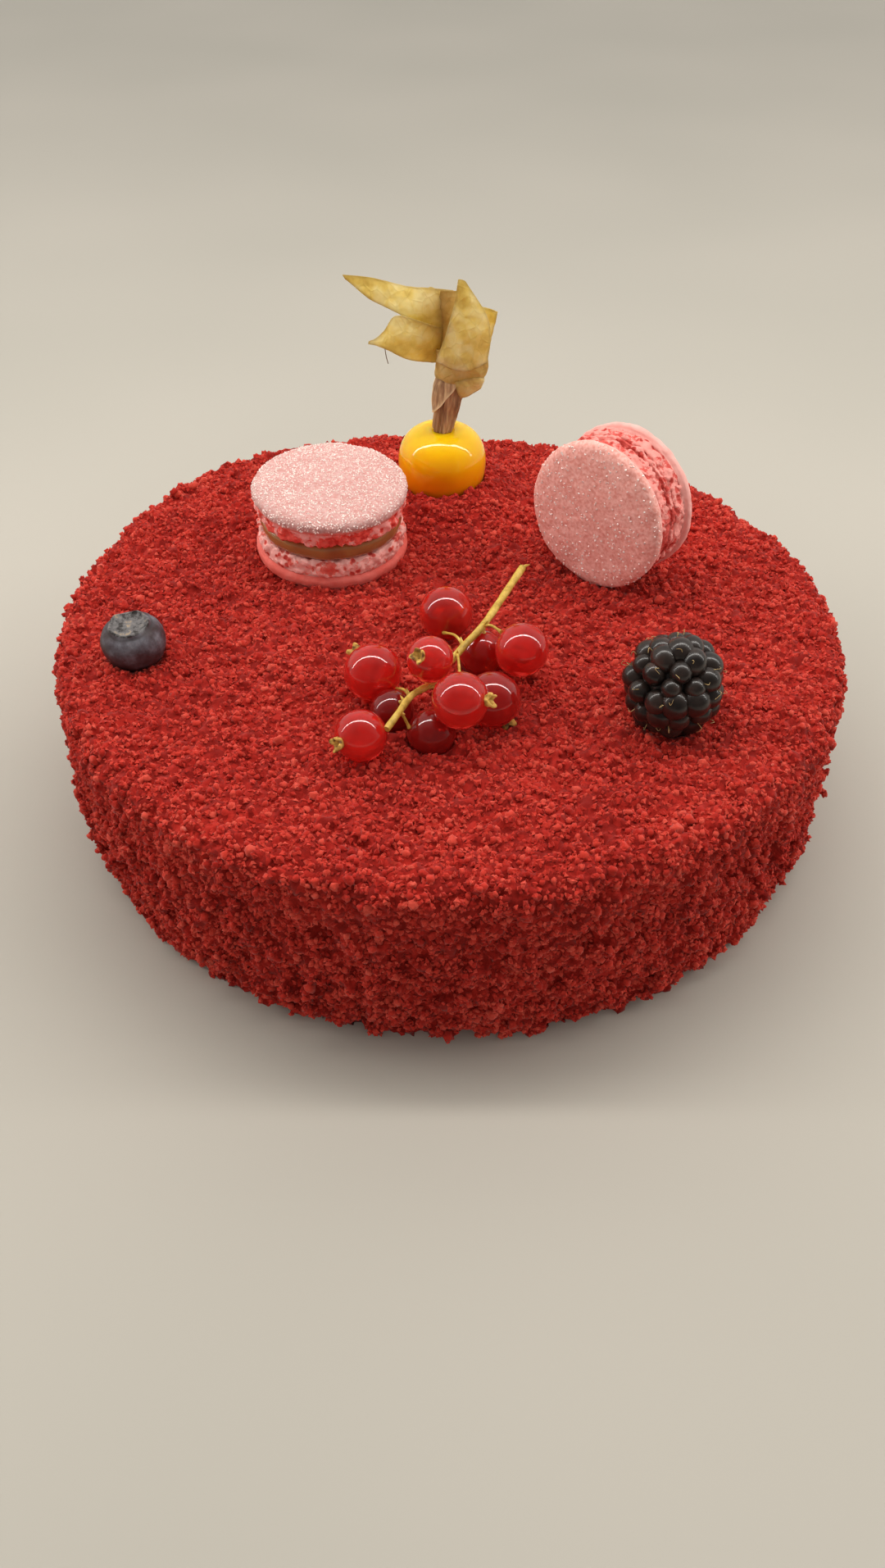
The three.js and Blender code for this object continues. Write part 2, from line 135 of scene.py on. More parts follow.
# The golden berry, a low currant and the blueberry were pushed in hardest, and the crumbs stand up
# round them: each one's place, its reach, the bank's width and its rise, in mm.
BANKS = [((-0.9, 56), 11.5, 9, 5.2), ((-3.1, -46.4), 5.1, 3.5, 1.5), ((-68.9, -18.7), 7.2, 3, 1.6)]
for corner in crust.data.vertices:
    turn = math.degrees(math.atan2(corner.co.y, corner.co.x))
    bulge = math.exp(-(((turn - HIGH_CORNER) / 29) ** 2))
    near_rim = min(1, max(0, (corner.co.to_2d().length / mm - 62) / 24))
    if corner.co.z > 30 * mm:
        dip = math.exp(-(((turn - DIP) / 16) ** 2))
        corner.co.z += (0.5 + 1.7 * bulge - 1.6 * dip) * near_rim * mm
    drawn_in = 0.036 * max(0, 1 - corner.co.z / (17 * mm)) ** 2
    corner.co.x *= 1 + 0.022 * bulge - drawn_in
    corner.co.y *= 1 + 0.022 * bulge - drawn_in
    corner.co.x += SHIFT
    if corner.co.z > 42 * mm:
        for (x, y), reach, width, rise in BANKS:
            away = math.hypot(corner.co.x / mm - x, corner.co.y / mm - y) - reach
            corner.co.z += rise * mm * math.exp(-((away / width) ** 2)) if away > -reach else 0

# The toppings press the crumbs down, and the crust stays just clear of them.
CLEAR = 0.45 * mm
corners, faces = [], []
for name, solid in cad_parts.items():
    if name != "cake":
        start = len(corners)
        corners += [corner.co.copy() for corner in solid.data.vertices]
        faces += [[start + i for i in face.vertices] for face in solid.data.polygons]
toppings = BVHTree.FromPolygons(corners, faces)


def underside(place):
    """The lowest height at which a topping stands over place or close beside it."""
    lowest = 1.0
    for x, y in ((0, 0), (CLEAR, 0), (-CLEAR, 0), (0, CLEAR), (0, -CLEAR)):
        hit = toppings.ray_cast(Vector((place.x + x, place.y + y, 30 * mm)), Vector((0, 0, 1)))[0]
        if hit:
            lowest = min(lowest, hit.z)
    return lowest


open_to_crumbs = []
for corner in crust.data.vertices:
    if corner.co.z > 40 * mm:
        lowest = underside(corner.co)
        open_to_crumbs.append(0.0 if lowest < corner.co.z + 0.6 * mm else 1.0)
        corner.co.z = min(corner.co.z, lowest - CLEAR)
    else:
        open_to_crumbs.append(1.0)
        corner.co.z = max(corner.co.z, 0)
crust.data.attributes.new("open", "FLOAT", "POINT").data.foreach_set("value", open_to_crumbs)

# The flat underside closes the crust.
alone(crust)
bpy.ops.object.mode_set(mode="EDIT")
bpy.ops.mesh.select_mode(type="EDGE")
bpy.ops.mesh.select_all(action="DESELECT")
bpy.ops.mesh.select_non_manifold(extend=False, use_wire=False, use_multi_face=False, use_verts=False)
bpy.ops.transform.resize(value=(1, 1, 0), center_override=(0, 0, 0))
bpy.ops.mesh.extrude_region_move()
bpy.ops.transform.resize(value=(0.97, 0.97, 1), center_override=(0, 0, 0))
bpy.ops.mesh.edge_face_add()
bpy.ops.mesh.select_mode(type="FACE")
bpy.ops.object.mode_set(mode="OBJECT")
bpy.ops.object.shade_smooth()

# The top and the side are two pieces of one crust.
TOP_FROM = 38.5 * mm
selected_faces(crust, lambda face: face.center.z < TOP_FROM)
bpy.ops.mesh.separate(type="SELECTED")
bpy.ops.object.mode_set(mode="OBJECT")
side_crust = next(o for o in bpy.context.selected_objects if o != crust)
side_crust.name = "cake_side_crust"


def node_maker(tree, prefix=""):
    """A function that adds a node to the tree, with settings, and with a value or a link on each input
    that is named, or numbered as _0, _1 and so on."""

    def node(kind, settings=None, **inputs):
        made = tree.nodes.new(prefix + kind)
        for setting, value in (settings or {}).items():
            setattr(made, setting, value)
        for socket, value in inputs.items():
            socket = made.inputs[int(socket[1:]) if socket[0] == "_" else socket.replace("_", " ")]
            if isinstance(value, bpy.types.NodeSocket):
                tree.links.new(value, socket)
            else:
                socket.default_value = value
        return made

    return node


def finish(name, **sockets):
    """A new material with these values on its shader's sockets, and the maker of its nodes."""
    material = bpy.data.materials.new(name)
    material.use_nodes = True
    tree = material.node_tree
    shader = tree.nodes["Principled BSDF"]
    for socket, value in sockets.items():
        shader.inputs[socket.replace("_", " ")].default_value = value
    node = node_maker(tree, "ShaderNode")
    node.place = node("TexCoord").outputs["Object"]
    node.link = lambda output, socket: tree.links.new(output, shader.inputs[socket])
    return material, node


def clouds(node, scale, **settings):
    """A cloudy pattern of this many clouds a metre, all through the piece."""
    return node("TexNoise", **{"Vector": node.place, "Scale": scale, **settings}).outputs["Fac"]


def worked_out(node, how, *numbers):
    """One step of arithmetic on two numbers, or on three for MULTIPLY_ADD."""
    inputs = {f"_{i}": number for i, number in enumerate(numbers)}
    return node("Math", {"operation": how}, **inputs).outputs[0]


def bumpy(node, height, strength, deep):
    """Makes the surface look as uneven as height, up to this deep in mm."""
    normal = node("Bump", Strength=strength, Distance=deep * mm, Height=height).outputs["Normal"]
    node.link(normal, "Normal")
    return normal


def ramp(node, value, stops):
    """A colour ramp over value, from (position, colour) stops."""
    made = node("ValToRGB", Fac=value)
    elements = made.color_ramp.elements
    while len(elements) < len(stops):
        elements.new(0.5)
    for element, (position, colour) in zip(elements, stops):
        element.position = position
        element.color = (*colour, 1)
    return made.outputs["Color"]


# Red sponge: each crumb has its own red, from deep crimson to bright, and a few are pinkish.
CRUMB_REDS = [
    (0.0, (0.22, 0.008, 0.005)),
    (0.25, (0.38, 0.016, 0.010)),
    (0.6, (0.53, 0.036, 0.022)),
    (0.95, (0.61, 0.078, 0.050)),
    (1.0, (0.66, 0.16, 0.12)),
]


def crumb_finish(name, tone_of, depth):
    """Crumbs of many reds. tone_of(node) gives each its own share of the range, made this much darker. On the
    crust this is painted shade: it is made darker than the loose crumbs, for the crevices between them.
    """
    material, node = finish(
        name, Roughness=0.92, Specular_IOR_Level=0.12, Sheen_Weight=0.11, Sheen_Roughness=0.5,
        Sheen_Tint=(1, 0.88, 0.82, 1),
    )
    broad = clouds(node, 45.0, Detail=2.0)
    fine = clouds(node, 1500.0, Detail=3.0)
    tone = worked_out(node, "MULTIPLY_ADD", broad, 0.5, tone_of(node))
    tone = worked_out(node, "MULTIPLY_ADD", fine, 0.35, tone)
    tone = worked_out(node, "SUBTRACT", tone, depth)
    node.link(ramp(node, tone, CRUMB_REDS), "Base Color")
    bumpy(node, fine, 0.5, 0.25)
    return material


def cell_tone(node):
    """A tone for each small cell of the crust."""
    cells = node("TexVoronoi", Vector=node.place, Scale=720.0)
    tone = node("SeparateColor", _0=cells.outputs["Color"]).outputs["Red"]
    return worked_out(node, "MULTIPLY", tone, 0.4)


def handed_over(piece, material, slot, *nodes):
    """Gives a finished piece its material and its body, and hides the solids it stands for. The slot is not
    used.
    """
    piece.data.materials.clear()
    piece.data.materials.append(material)
    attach(piece, "root")
    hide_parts(*nodes)


# The crust is painted darker than the loose crumbs (0.54 against 0.36): painted shade in the crevices between
# the crumbs.
crust_finish = crumb_finish("crust", cell_tone, 0.54)
for piece in (crust, side_crust):
    handed_over(piece, crust_finish, "crumbs", "cake")


# ---- The macarons -------------------------------------------------------------------------------
# Two almond shells face to face over a soft filling. A shell is turned in one go, with a frilled,
# bubbly foot under a smooth cap. Fine sugar is strewn over the caps that show. One macaron lies on
# the cake with caramel between its shells, and one leans back on its edge.
def turned(name, profile, sides):
    """A closed shape turned round +Z, from its (radius, height) pairs in mm, axis to axis."""
    bpy.ops.object.select_all(action="DESELECT")
    (reach, height), *rest = [(max(r, 0.02) * mm, z * mm) for r, z in profile]
    bpy.ops.mesh.primitive_circle_add(vertices=sides, radius=reach, location=(0, 0, height))
    piece = bpy.context.object
    piece.name = name
    bpy.ops.object.transform_apply(location=True, rotation=True, scale=True)
    bpy.ops.object.mode_set(mode="EDIT")
    bpy.ops.mesh.select_mode(type="VERT")
    bpy.ops.mesh.select_all(action="SELECT")
    for next_reach, next_height in rest:
        step = (0, 0, next_height - height)
        bpy.ops.mesh.extrude_region_move(TRANSFORM_OT_translate={"value": step})
        wider = next_reach / reach
        bpy.ops.transform.resize(value=(wider, wider, 1), center_override=(0, 0, 0))
        reach, height = next_reach, next_height
    bpy.ops.mesh.select_all(action="SELECT")
    bpy.ops.mesh.remove_doubles(threshold=0.02 * mm)
    bpy.ops.mesh.normals_make_consistent(inside=False)
    bpy.ops.object.mode_set(mode="OBJECT")
    return piece


def set_down(piece, at, axis, scale=1.0):
    """Turns a piece made round +Z along axis, and moves it to its place."""
    turn = Vector((0, 0, 1)).rotation_difference(Vector(axis).normalized())
    piece.data.transform(
        Matrix.Translation(Vector(at) * mm) @ turn.to_matrix().to_4x4() @ Matrix.Scale(scale, 4)
    )
    alone(piece)
    bpy.ops.object.shade_smooth()


def macaron_shell(name, dome, turn, groove):
    """A shell on its flat side: a frilled foot 4.2 mm high, and a cap of this height over it, with a
    groove of this depth between the two. No two are turned alike, so their bubbles differ."""
    foot = [
        (0, 0), (8, 0), (13, 0), (16, 0), (17.5, 0.05), (18.0, 0.35), (18.2, 1.0), (18.25, 1.9),
        (18.3, 2.7), (18.3, 3.3), (18.3 - 0.6 * groove, 3.8), (18.3 - groove, 4.15),
    ]
    cap = [
        (18.4 - groove, 0), (18.6 - 0.5 * groove, 0.05), (18.75, 0.14), (18.8, 0.26), (18.75, 0.42),
        (18.45, 0.57), (17.8, 0.69), (16.7, 0.79), (15, 0.87), (12.5, 0.93), (9.5, 0.97), (6.3, 0.99),
        (3, 1), (0, 1),
    ]
    shell = turned(name, foot + [(reach, 4.4 + share * (dome - 0.2)) for reach, share in cap], 150)
    modified(shell, "SUBSURF", levels=1, render_levels=1)
    marked(shell, "frill", lambda p: float(p.z < 4.2 * mm and p.to_2d().length > 16.5 * mm))
    marked(shell, "sugar", lambda p: min(1, max(0, (p.z - 4.8 * mm) / (0.6 * mm))))
    marked(shell, "cap", lambda p: float(p.z > 4.6 * mm))
    shell.data.transform(Matrix.Rotation(turn, 4, "Z"))
    swollen(shell, "CLOUDS", 12, 0.8, group="cap", depth=1)
    swollen(shell, "CLOUDS", 2.2, 0.35, group="cap", depth=1)
    swollen(shell, "CLOUDS", 5, 1.1, 0.5, "frill")
    swollen(shell, "VORONOI", 2.4, -1.1, 0.35, "frill")
    swollen(shell, "VORONOI", 1.3, -0.8, 0.35, "frill")
    swollen(shell, "CLOUDS", 0.9, 0.5, 0.5, "frill")
    return shell


def marking(node, name):
    """The number that the piece carries under this name, corner by corner."""
    return node("Attribute", {"attribute_name": name}).outputs["Fac"]


def mixed(node, share, first, second, how="MIX"):
    """Two colours mixed by share."""
    made = node("Mix", {"data_type": "RGBA", "blend_type": how}, _0=share, _6=first, _7=second)
    return made.outputs[2]


# Pink almond crust: a smooth coral cap, dusty pink where it is sugared, and a foot of foam. The foam
# has burst bubbles wherever its grain is over "pitted", painted a deeper red as painted shade in the pits,
# and is torn to the red where it is over "torn".
CORAL_FOAM = [
    (0.25, (0.66, 0.05, 0.04)), (0.6, (0.92, 0.12, 0.09)),
    (0.95, (0.97, 0.28, 0.24)), (1.0, (0.98, 0.40, 0.36)),
]
PALE_FOAM = [
    (0.25, (0.58, 0.05, 0.04)), (0.6, (0.86, 0.16, 0.12)),
    (0.95, (0.95, 0.35, 0.30)), (1.0, (0.97, 0.48, 0.43)),
]
ROSY_FOAM = [
    (0.25, (0.48, 0.04, 0.03)), (0.6, (0.68, 0.10, 0.08)),
    (0.95, (0.82, 0.24, 0.21)), (1.0, (0.87, 0.32, 0.28)),
]


def crust_of_macaron(name, pitted, torn, foam, smooth, frosting):
    """The finish of a shell, from the colours of its foam, of its bare cap and of its sugared cap."""
    material, node = finish(name, Roughness=0.75, Specular_IOR_Level=0.3)
    frill = marking(node, "frill")
    sugar = marking(node, "sugar")
    bubbles = node("TexVoronoi", Vector=node.place, Scale=470.0).outputs["Distance"]
    grain = clouds(node, 230.0, Detail=4.0, Roughness=0.6)
    fine = clouds(node, 1300.0, Detail=2.0)
    # The pits of the burst bubbles are painted a deeper red: painted shade.
    pits = node("MapRange", Value=bubbles, _1=0.2, _2=0.4).outputs[0]
    solid = node("MapRange", Value=grain, _1=pitted + 0.04, _2=pitted - 0.04).outputs[0]
    whole = worked_out(node, "MAXIMUM", pits, solid)
    patches = node("MapRange", Value=grain, _1=torn + 0.05, _2=torn - 0.03, _3=0.25, _4=1.0).outputs[0]
    whole = worked_out(node, "MULTIPLY", whole, patches)
    whole = worked_out(node, "MULTIPLY_ADD", fine, 0.5, whole)
    dust = worked_out(node, "MULTIPLY_ADD", grain, 0.5, -0.25)
    dust = worked_out(node, "ADD", fine, dust)
    capped = mixed(node, sugar, ramp(node, grain, smooth), ramp(node, dust, frosting))
    node.link(mixed(node, frill, capped, ramp(node, whole, foam)), "Base Color")
    height = worked_out(node, "MULTIPLY", whole, frill)
    height = worked_out(node, "MULTIPLY_ADD", fine, 0.5, height)
    bumpy(node, height, 0.6, 0.4)
    return material


sugared_crust = crust_of_macaron(
    "sugared macaron crust", 0.42, 0.48, CORAL_FOAM,
    [(0.35, (0.80, 0.22, 0.18)), (0.65, (0.86, 0.34, 0.29))],
    [(0.35, (0.56, 0.265, 0.24)), (0.62, (0.62, 0.375, 0.35))],
)
BARE_CAP = [(0.35, (0.74, 0.12, 0.09)), (0.65, (0.84, 0.20, 0.165))]
bare_crust = crust_of_macaron("bare macaron crust", 0.40, 0.58, PALE_FOAM, BARE_CAP, BARE_CAP)
rosy_crust = crust_of_macaron(
    "rosy macaron crust", 0.44, 0.53, ROSY_FOAM,
    [(0.35, (0.84, 0.36, 0.32)), (0.65, (0.92, 0.47, 0.42))],
    [(0.3, (0.76, 0.29, 0.24)), (0.7, (0.95, 0.52, 0.46))],
)

# Caramel: brown and glossy, a little cloudy.
caramel_finish, node = finish(
    "caramel", Roughness=0.22, Coat_Weight=0.6, Coat_Roughness=0.08, Subsurface_Weight=0.25
)
cloudy = clouds(node, 160.0, Detail=2.0)
node.link(ramp(node, cloudy, [(0.3, (0.32, 0.10, 0.035)), (0.7, (0.44, 0.19, 0.06))]), "Base Color")
bumpy(node, cloudy, 0.25, 0.4)

# Each macaron's layers; where it is, which way it faces and its size; half its filling's height and
# that filling's radius; the heights of its two caps and their finishes; the filling's finish; and its
# sugar: grains per mm2, and the smallest and the largest in mm.
MACARONS = [
    (
        "lying_macaron", ("upper_shell", "caramel", "lower_shell"),
        (-28.2, 28.2, 56.25), (0.02, -0.055, 1), 1.0, 1.85, 17.35,
        (4.2, 5.2), (sugared_crust, bare_crust), caramel_finish, (2.2, 0.18, 0.42),
    ),
    (
        "leaning_macaron", ("front_shell", "filling", "back_shell"),
        (39.2, 19.2, 63.7), (-0.65, -0.758, 0.02), 0.95, 1.0, 18.3,
        (4.2, 4.2), (rosy_crust, rosy_crust), rosy_crust, (0.4, 0.2, 0.5),
    ),
]
sugared = []
for macaron, layers, at, axis, scale, half, filled, domes, finishes, filling_finish, sugar in MACARONS:
    upper, middle, lower = (f"{macaron}_{layer}" for layer in layers)
    for name, side, dome, shell_finish in zip((upper, lower), (1, -1), domes, finishes):
        shell = macaron_shell(name + "_crust", dome, 0.7 + side, 0.1 if name == upper else 0.5)
        shell.data.transform(Matrix.Translation((0, 0, half * mm)))
        if side < 0:
            shell.data.transform(Matrix.Rotation(math.pi, 4, "X"))
            shell.data.attributes["sugar"].data.foreach_set("value", [0.0] * len(shell.data.vertices))
        set_down(shell, at, axis, scale)
        handed_over(shell, shell_finish, "macaron", name)
        if side > 0:
            sugared.append((name, shell, sugar))
    edge = [
        (0, -half), (12, -half), (filled - 0.6, 0.02 - half), (filled - 0.1, -0.65 * half),
        (filled, -0.2 * half), (filled, 0.3 * half), (filled - 0.1, 0.7 * half),
        (filled - 0.6, half - 0.02), (12, half), (0, half),
    ]
    filling = turned(middle + "_layer", edge, 120)
    if filling_finish == rosy_crust:
        modified(filling, "SUBSURF", levels=2, render_levels=2)
        marked(filling, "frill", lambda p: float(p.to_2d().length > 16 * mm))
        swollen(filling, "VORONOI", 2.4, -1.1, 0.35, "frill")
        swollen(filling, "CLOUDS", 0.9, 0.5, 0.5, "frill")
    swollen(filling, "CLOUDS", 9, 0.5, depth=1)
    set_down(filling, at, axis, scale)
    handed_over(filling, filling_finish, "caramel", middle)


# ---- The golden berry ---------------------------------------------------------------------------
# A ripe husk cherry: a waxy, juicy berry with broad shoulders, yellow on top and deep orange below,
# partly its own colours and partly painted light on top and painted shade below.
# It stands in a small hollow in the crumbs, and its husk grows from the dimple in its top.
BERRY_AT = (-0.9, 56, 54.8)
berry = turned(
    "golden_berry_skin",
    [
        (0, -10.9), (2.8, -10.7), (5.6, -9.7), (8.2, -8.0), (10.2, -5.6), (11.2, -2.8), (11.55, 0.2),
        (11.5, 3.0), (10.8, 5.5), (9.5, 7.7), (7.6, 9.3), (5.5, 10.3), (3.8, 10.6), (2.4, 10.2),
        (1.2, 9.8), (0, 9.7),
    ],
    48,
)
modified(berry, "SUBSURF", levels=2, render_levels=2)
swollen(berry, "CLOUDS", 14, 0.5, depth=0)
set_down(berry, BERRY_AT, (0, 0, 1))
golden_skin, node = finish(
    "golden skin", Roughness=0.38, Coat_Weight=0.9, Coat_Roughness=0.03, Coat_IOR=1.5,
    Subsurface_Weight=0.6, Subsurface_Scale=0.003, Subsurface_Radius=(1.0, 0.45, 0.05),
    Specular_IOR_Level=0.05,
)
# Painted light and shade: the colour runs from deep orange low down to yellow on top, partly the berry's own
# colour and partly painted light on the top and painted shade underneath.
height = node("SeparateXYZ", _0=node.place).outputs["Z"]
rise = node("MapRange", Value=height, _1=46 * mm, _2=66 * mm).outputs[0]
patchy = clouds(node, 120.0, Detail=2.0)
rise = worked_out(node, "MULTIPLY_ADD", patchy, 0.12, rise)
node.link(
    ramp(node, rise, [(0.15, (0.68, 0.17, 0.001)), (0.5, (0.84, 0.31, 0.001)), (0.95, (0.90, 0.55, 0.002))]),
    "Base Color",
)
pores = clouds(node, 900.0, Detail=1.0)
bumpy(node, pores, 0.05, 0.1)
handed_over(berry, golden_skin, "golden_skin", "golden_berry")


# ---- The husk -----------------------------------------------------------------------------------
# The berry's own paper husk, turned back over its stalk end: a brown, streaked neck, a crumpled
# collar and the husk's dry lobes, which stand up and out to the left. Each is one thin wavy sheet
# with veins, drawn over a net of its folds.
HUSK_THICKNESS = 0.22 * mm


def husk_sheet(name, net, wrinkles=0.7):
    """A thin sheet over a net of places in mm, rows along it and columns across it, that knows how
    near its edge each corner is."""
    rows, columns = len(net), len(net[0])
    bpy.ops.object.select_all(action="DESELECT")
    bpy.ops.mesh.primitive_grid_add(x_subdivisions=columns - 1, y_subdivisions=rows - 1, size=1)
    sheet = bpy.context.object
    sheet.name = name
    for corner, place in zip(sheet.data.vertices, [place for row in net for place in row]):
        corner.co = Vector(place) * mm
    modified(sheet, "SUBSURF", levels=4, render_levels=4, boundary_smooth="PRESERVE_CORNERS")
    bpy.ops.object.mode_set(mode="EDIT")
    bpy.ops.mesh.select_mode(type="VERT")
    bpy.ops.mesh.select_all(action="DESELECT")
    bpy.ops.mesh.select_non_manifold()
    bpy.ops.object.mode_set(mode="OBJECT")
    border = [corner.co.copy() for corner in sheet.data.vertices if corner.select]
    nearest = KDTree(len(border))
    for i, place in enumerate(border):
        nearest.insert(place, i)
    nearest.balance()
    marked(sheet, "edge", lambda place: math.exp(-((nearest.find(place)[2] / (0.45 * mm)) ** 2)))
    swollen(sheet, "CLOUDS", 5.5, 1.6 * wrinkles, depth=1)
    swollen(sheet, "CLOUDS", 1.8, 0.5 * wrinkles, depth=1)
    modified(sheet, "SOLIDIFY", thickness=HUSK_THICKNESS, offset=0)
    alone(sheet)
    bpy.ops.object.shade_smooth()
    return sheet


HUSK_SHEETS = {
    # the tall panel in front, with its tip at the top
    "front_lobe": [
        [(-2.4, 51.8, 84.7), (1.6, 50.1, 83.1), (6.0, 49.8, 82.9), (10.2, 51.6, 84.4)],
        [(-0.9, 51.8, 88.6), (2.7, 50.5, 87.8), (6.9, 50.3, 87.8), (10.9, 52.2, 88.5)],
        [(0.9, 51.9, 94.2), (3.7, 50.8, 94.0), (7.2, 50.9, 94.2), (10.7, 53.2, 94.4)],
        [(2.0, 52.2, 99.2), (4.0, 51.5, 99.2), (6.4, 51.7, 98.8), (8.5, 53.0, 98.0)],
        [(2.7, 52.8, 102.6), (3.6, 52.7, 103.0), (4.8, 52.8, 102.6), (5.9, 53.0, 101.8)],
        [(2.9, 53.4, 104.0), (3.4, 53.4, 104.0), (3.9, 53.4, 103.9), (4.6, 53.4, 103.6)],
    ],
    # the fold behind its left edge
    "shaded_fold": [
        [(-3.2, 57.5, 83.0), (-1.4, 56.3, 83.6), (0.2, 55.0, 84.6), (1.4, 53.6, 85.6)],
        [(-2.6, 57.8, 90.0), (-0.6, 56.6, 90.0), (1.0, 55.2, 90.4), (2.4, 53.2, 91.0)],
        [(-1.9, 57.8, 96.0), (0.2, 56.8, 96.0), (1.9, 55.4, 96.3), (3.2, 53.4, 97.0)],
        [(-1.2, 57.3, 100.0), (0.8, 56.6, 100.2), (2.3, 55.6, 100.4), (3.6, 54.0, 101.2)],
    ],
    # the small flap beyond the front panel's right edge
    "side_flap": [
        [(8.6, 54.5, 97.0), (9.4, 55.2, 92.0), (9.6, 55.8, 86.0)],
        [(10.5, 55.3, 96.3), (10.8, 56.4, 91.5), (10.6, 57.4, 86.0)],
        [(12.5, 55.6, 95.4), (11.9, 56.8, 91.0), (10.8, 58.4, 86.5)],
    ],
    # the lobe that points to the upper left, with a long pale tip
    "upper_left_lobe": [
        [(1.8, 57.6, 99.8), (0.6, 57.2, 96.0), (-0.4, 57.0, 91.5), (-1.2, 56.8, 87.5)],
        [(-3.4, 58.0, 100.3), (-3.8, 56.6, 97.4), (-4.0, 55.8, 94.0), (-4.4, 56.2, 90.5)],
        [(-8.4, 58.4, 100.3), (-8.6, 56.6, 98.6), (-8.6, 55.2, 96.2), (-8.8, 55.6, 93.5)],
        [(-13.4, 58.2, 101.6), (-13.2, 57.0, 99.9), (-12.9, 55.8, 98.0), (-12.4, 55.4, 95.8)],
        [(-18.2, 57.6, 103.1), (-18.2, 57.0, 101.4), (-17.6, 56.4, 99.4), (-16.4, 56.0, 97.0)],
        [(-22.2, 57.0, 103.6), (-22.0, 56.8, 102.7), (-21.4, 56.6, 101.4), (-20.0, 56.2, 99.4)],
        [(-24.6, 56.6, 104.0), (-24.4, 56.6, 103.7), (-24.2, 56.6, 103.4), (-23.8, 56.6, 102.9)],
    ],
    # the lobe below it, which comes forward to a second tip
    "lower_left_lobe": [
        [(-0.6, 56.6, 91.0), (-0.8, 56.4, 87.6), (-1.4, 56.6, 84.6), (-2.6, 57.2, 82.4)],
        [(-4.2, 54.8, 92.8), (-4.2, 54.0, 88.8), (-4.6, 54.4, 85.6), (-5.8, 55.4, 82.9)],
        [(-8.4, 54.2, 94.6), (-8.2, 53.0, 90.6), (-8.4, 53.0, 87.2), (-9.2, 54.2, 84.2)],
        [(-12.6, 54.6, 95.6), (-12.3, 53.2, 92.0), (-12.3, 52.8, 89.0), (-12.8, 53.6, 86.2)],
        [(-14.0, 54.8, 92.2), (-14.2, 54.2, 90.4), (-14.4, 53.8, 88.8), (-14.6, 53.8, 87.0)],
        [(-16.7, 54.7, 89.3), (-16.7, 54.5, 88.8), (-16.8, 54.3, 88.3), (-16.9, 54.2, 87.7)],
        [(-18.9, 54.6, 88.5), (-18.9, 54.6, 88.3), (-19.0, 54.6, 88.0), (-19.0, 54.6, 87.8)],
    ],
    # the lobe at the back
    "back_lobe": [
        [(-0.6, 59.4, 79.0), (1.8, 60.9, 78.0), (5.0, 61.0, 78.0), (8.4, 59.6, 79.0)],
        [(-2.4, 60.8, 84.0), (0.6, 63.6, 84.0), (4.8, 64.2, 84.0), (9.2, 62.0, 84.0)],
        [(-5.2, 61.6, 90.5), (-2.2, 64.6, 90.8), (2.4, 65.2, 90.8), (6.8, 63.4, 90.4)],
        [(-5.0, 61.6, 96.0), (-3.8, 63.2, 96.6), (-1.6, 63.8, 97.0), (0.8, 63.6, 96.6)],
        [(-4.4, 62.0, 98.6), (-4.1, 62.2, 98.9), (-3.7, 62.4, 98.9), (-3.3, 62.4, 98.8)],
    ],
}
COLLAR_AT = Vector((3.6, 55.9))


def wrapped(rings, first_turn, last_turn, columns=13):
    """A net round the collar, from rings of (radius across, radius deep, height, shift to the right)."""
    net = []
    for across, deep, height, shift in rings:
        row = []
        for k in range(columns):
            turn = math.radians(first_turn + (last_turn - first_turn) * k / (columns - 1))
            pleat = 1 + 0.07 * math.sin(5.2 * turn + 0.6 * height)
            x = COLLAR_AT.x + shift + across * pleat * math.sin(turn)
            y = COLLAR_AT.y - deep * pleat * math.cos(turn)
            row.append((x, y, height + 0.7 * math.sin(2.3 * turn + 0.4 * height)))
        net.append(row)
    return net


# The collar is wound round twice: an ochre band, and a paler cuff that hangs from its right side.
HUSK_SHEETS["collar"] = wrapped(
    [
        (5.6, 3.4, 78.6, -0.2), (6.5, 4.1, 79.6, 0), (6.8, 4.5, 81.4, 0.2), (6.6, 4.5, 83.6, 0.2),
        (6.0, 4.1, 86.4, 0.2),
    ],
    -185, 185, 19,
)
HUSK_SHEETS["cuff"] = wrapped(
    [(3.9, 3.4, 75.6, 1.2), (5.0, 4.1, 76.8, 0.9), (5.7, 4.4, 78.2, 0.6), (5.8, 4.3, 79.6, 0.2)],
    -15, 140, 9,
)

# Straw yellow, browner along the dry edges, with a fine net of veins, and painted browner by the folds
# as painted shade. Light shines through it.
dry_husk, node = finish("dry husk", Roughness=0.62, Specular_IOR_Level=0.35, Subsurface_Weight=0.0)
browned = marking(node, "browned")
cells = node("TexVoronoi", {"feature": "DISTANCE_TO_EDGE"}, Vector=node.place, Scale=330.0)
veins = node("MapRange", Value=cells.outputs["Distance"], _1=0.0, _2=0.09, _3=1.0, _4=0.0).outputs[0]
patchy = clouds(node, 190.0, Detail=4.0)
straw = ramp(
    node, patchy,
    [(0.27, (0.74, 0.56, 0.14)), (0.45, (0.90, 0.75, 0.26)), (0.62, (0.97, 0.88, 0.50))],
)
brown = ramp(
    node, patchy,
    [(0.3, (0.50, 0.29, 0.07)), (0.6, (0.66, 0.45, 0.13)), (0.8, (0.78, 0.60, 0.23))],
)
colour = mixed(node, browned, straw, brown)
vein_share = worked_out(node, "MULTIPLY", veins, 0.07)
dry_edge = marking(node, "edge")
edge_share = worked_out(node, "MULTIPLY", dry_edge, 0.4)
colour = mixed(node, edge_share, colour, (0.42, 0.27, 0.08, 1))
node.link(mixed(node, vein_share, colour, (0.30, 0.18, 0.04, 1)), "Base Color")
crinkle = worked_out(node, "MULTIPLY_ADD", patchy, 4.0, veins)
crinkled = bumpy(node, crinkle, 0.3, 0.2)
glow = node("BsdfTranslucent", Color=colour, Normal=crinkled)
tree = dry_husk.node_tree
through = node("MixShader", _0=0.55, _1=tree.nodes["Principled BSDF"].outputs[0], _2=glow.outputs[0])
tree.links.new(through.outputs[0], tree.nodes["Material Output"].inputs["Surface"])
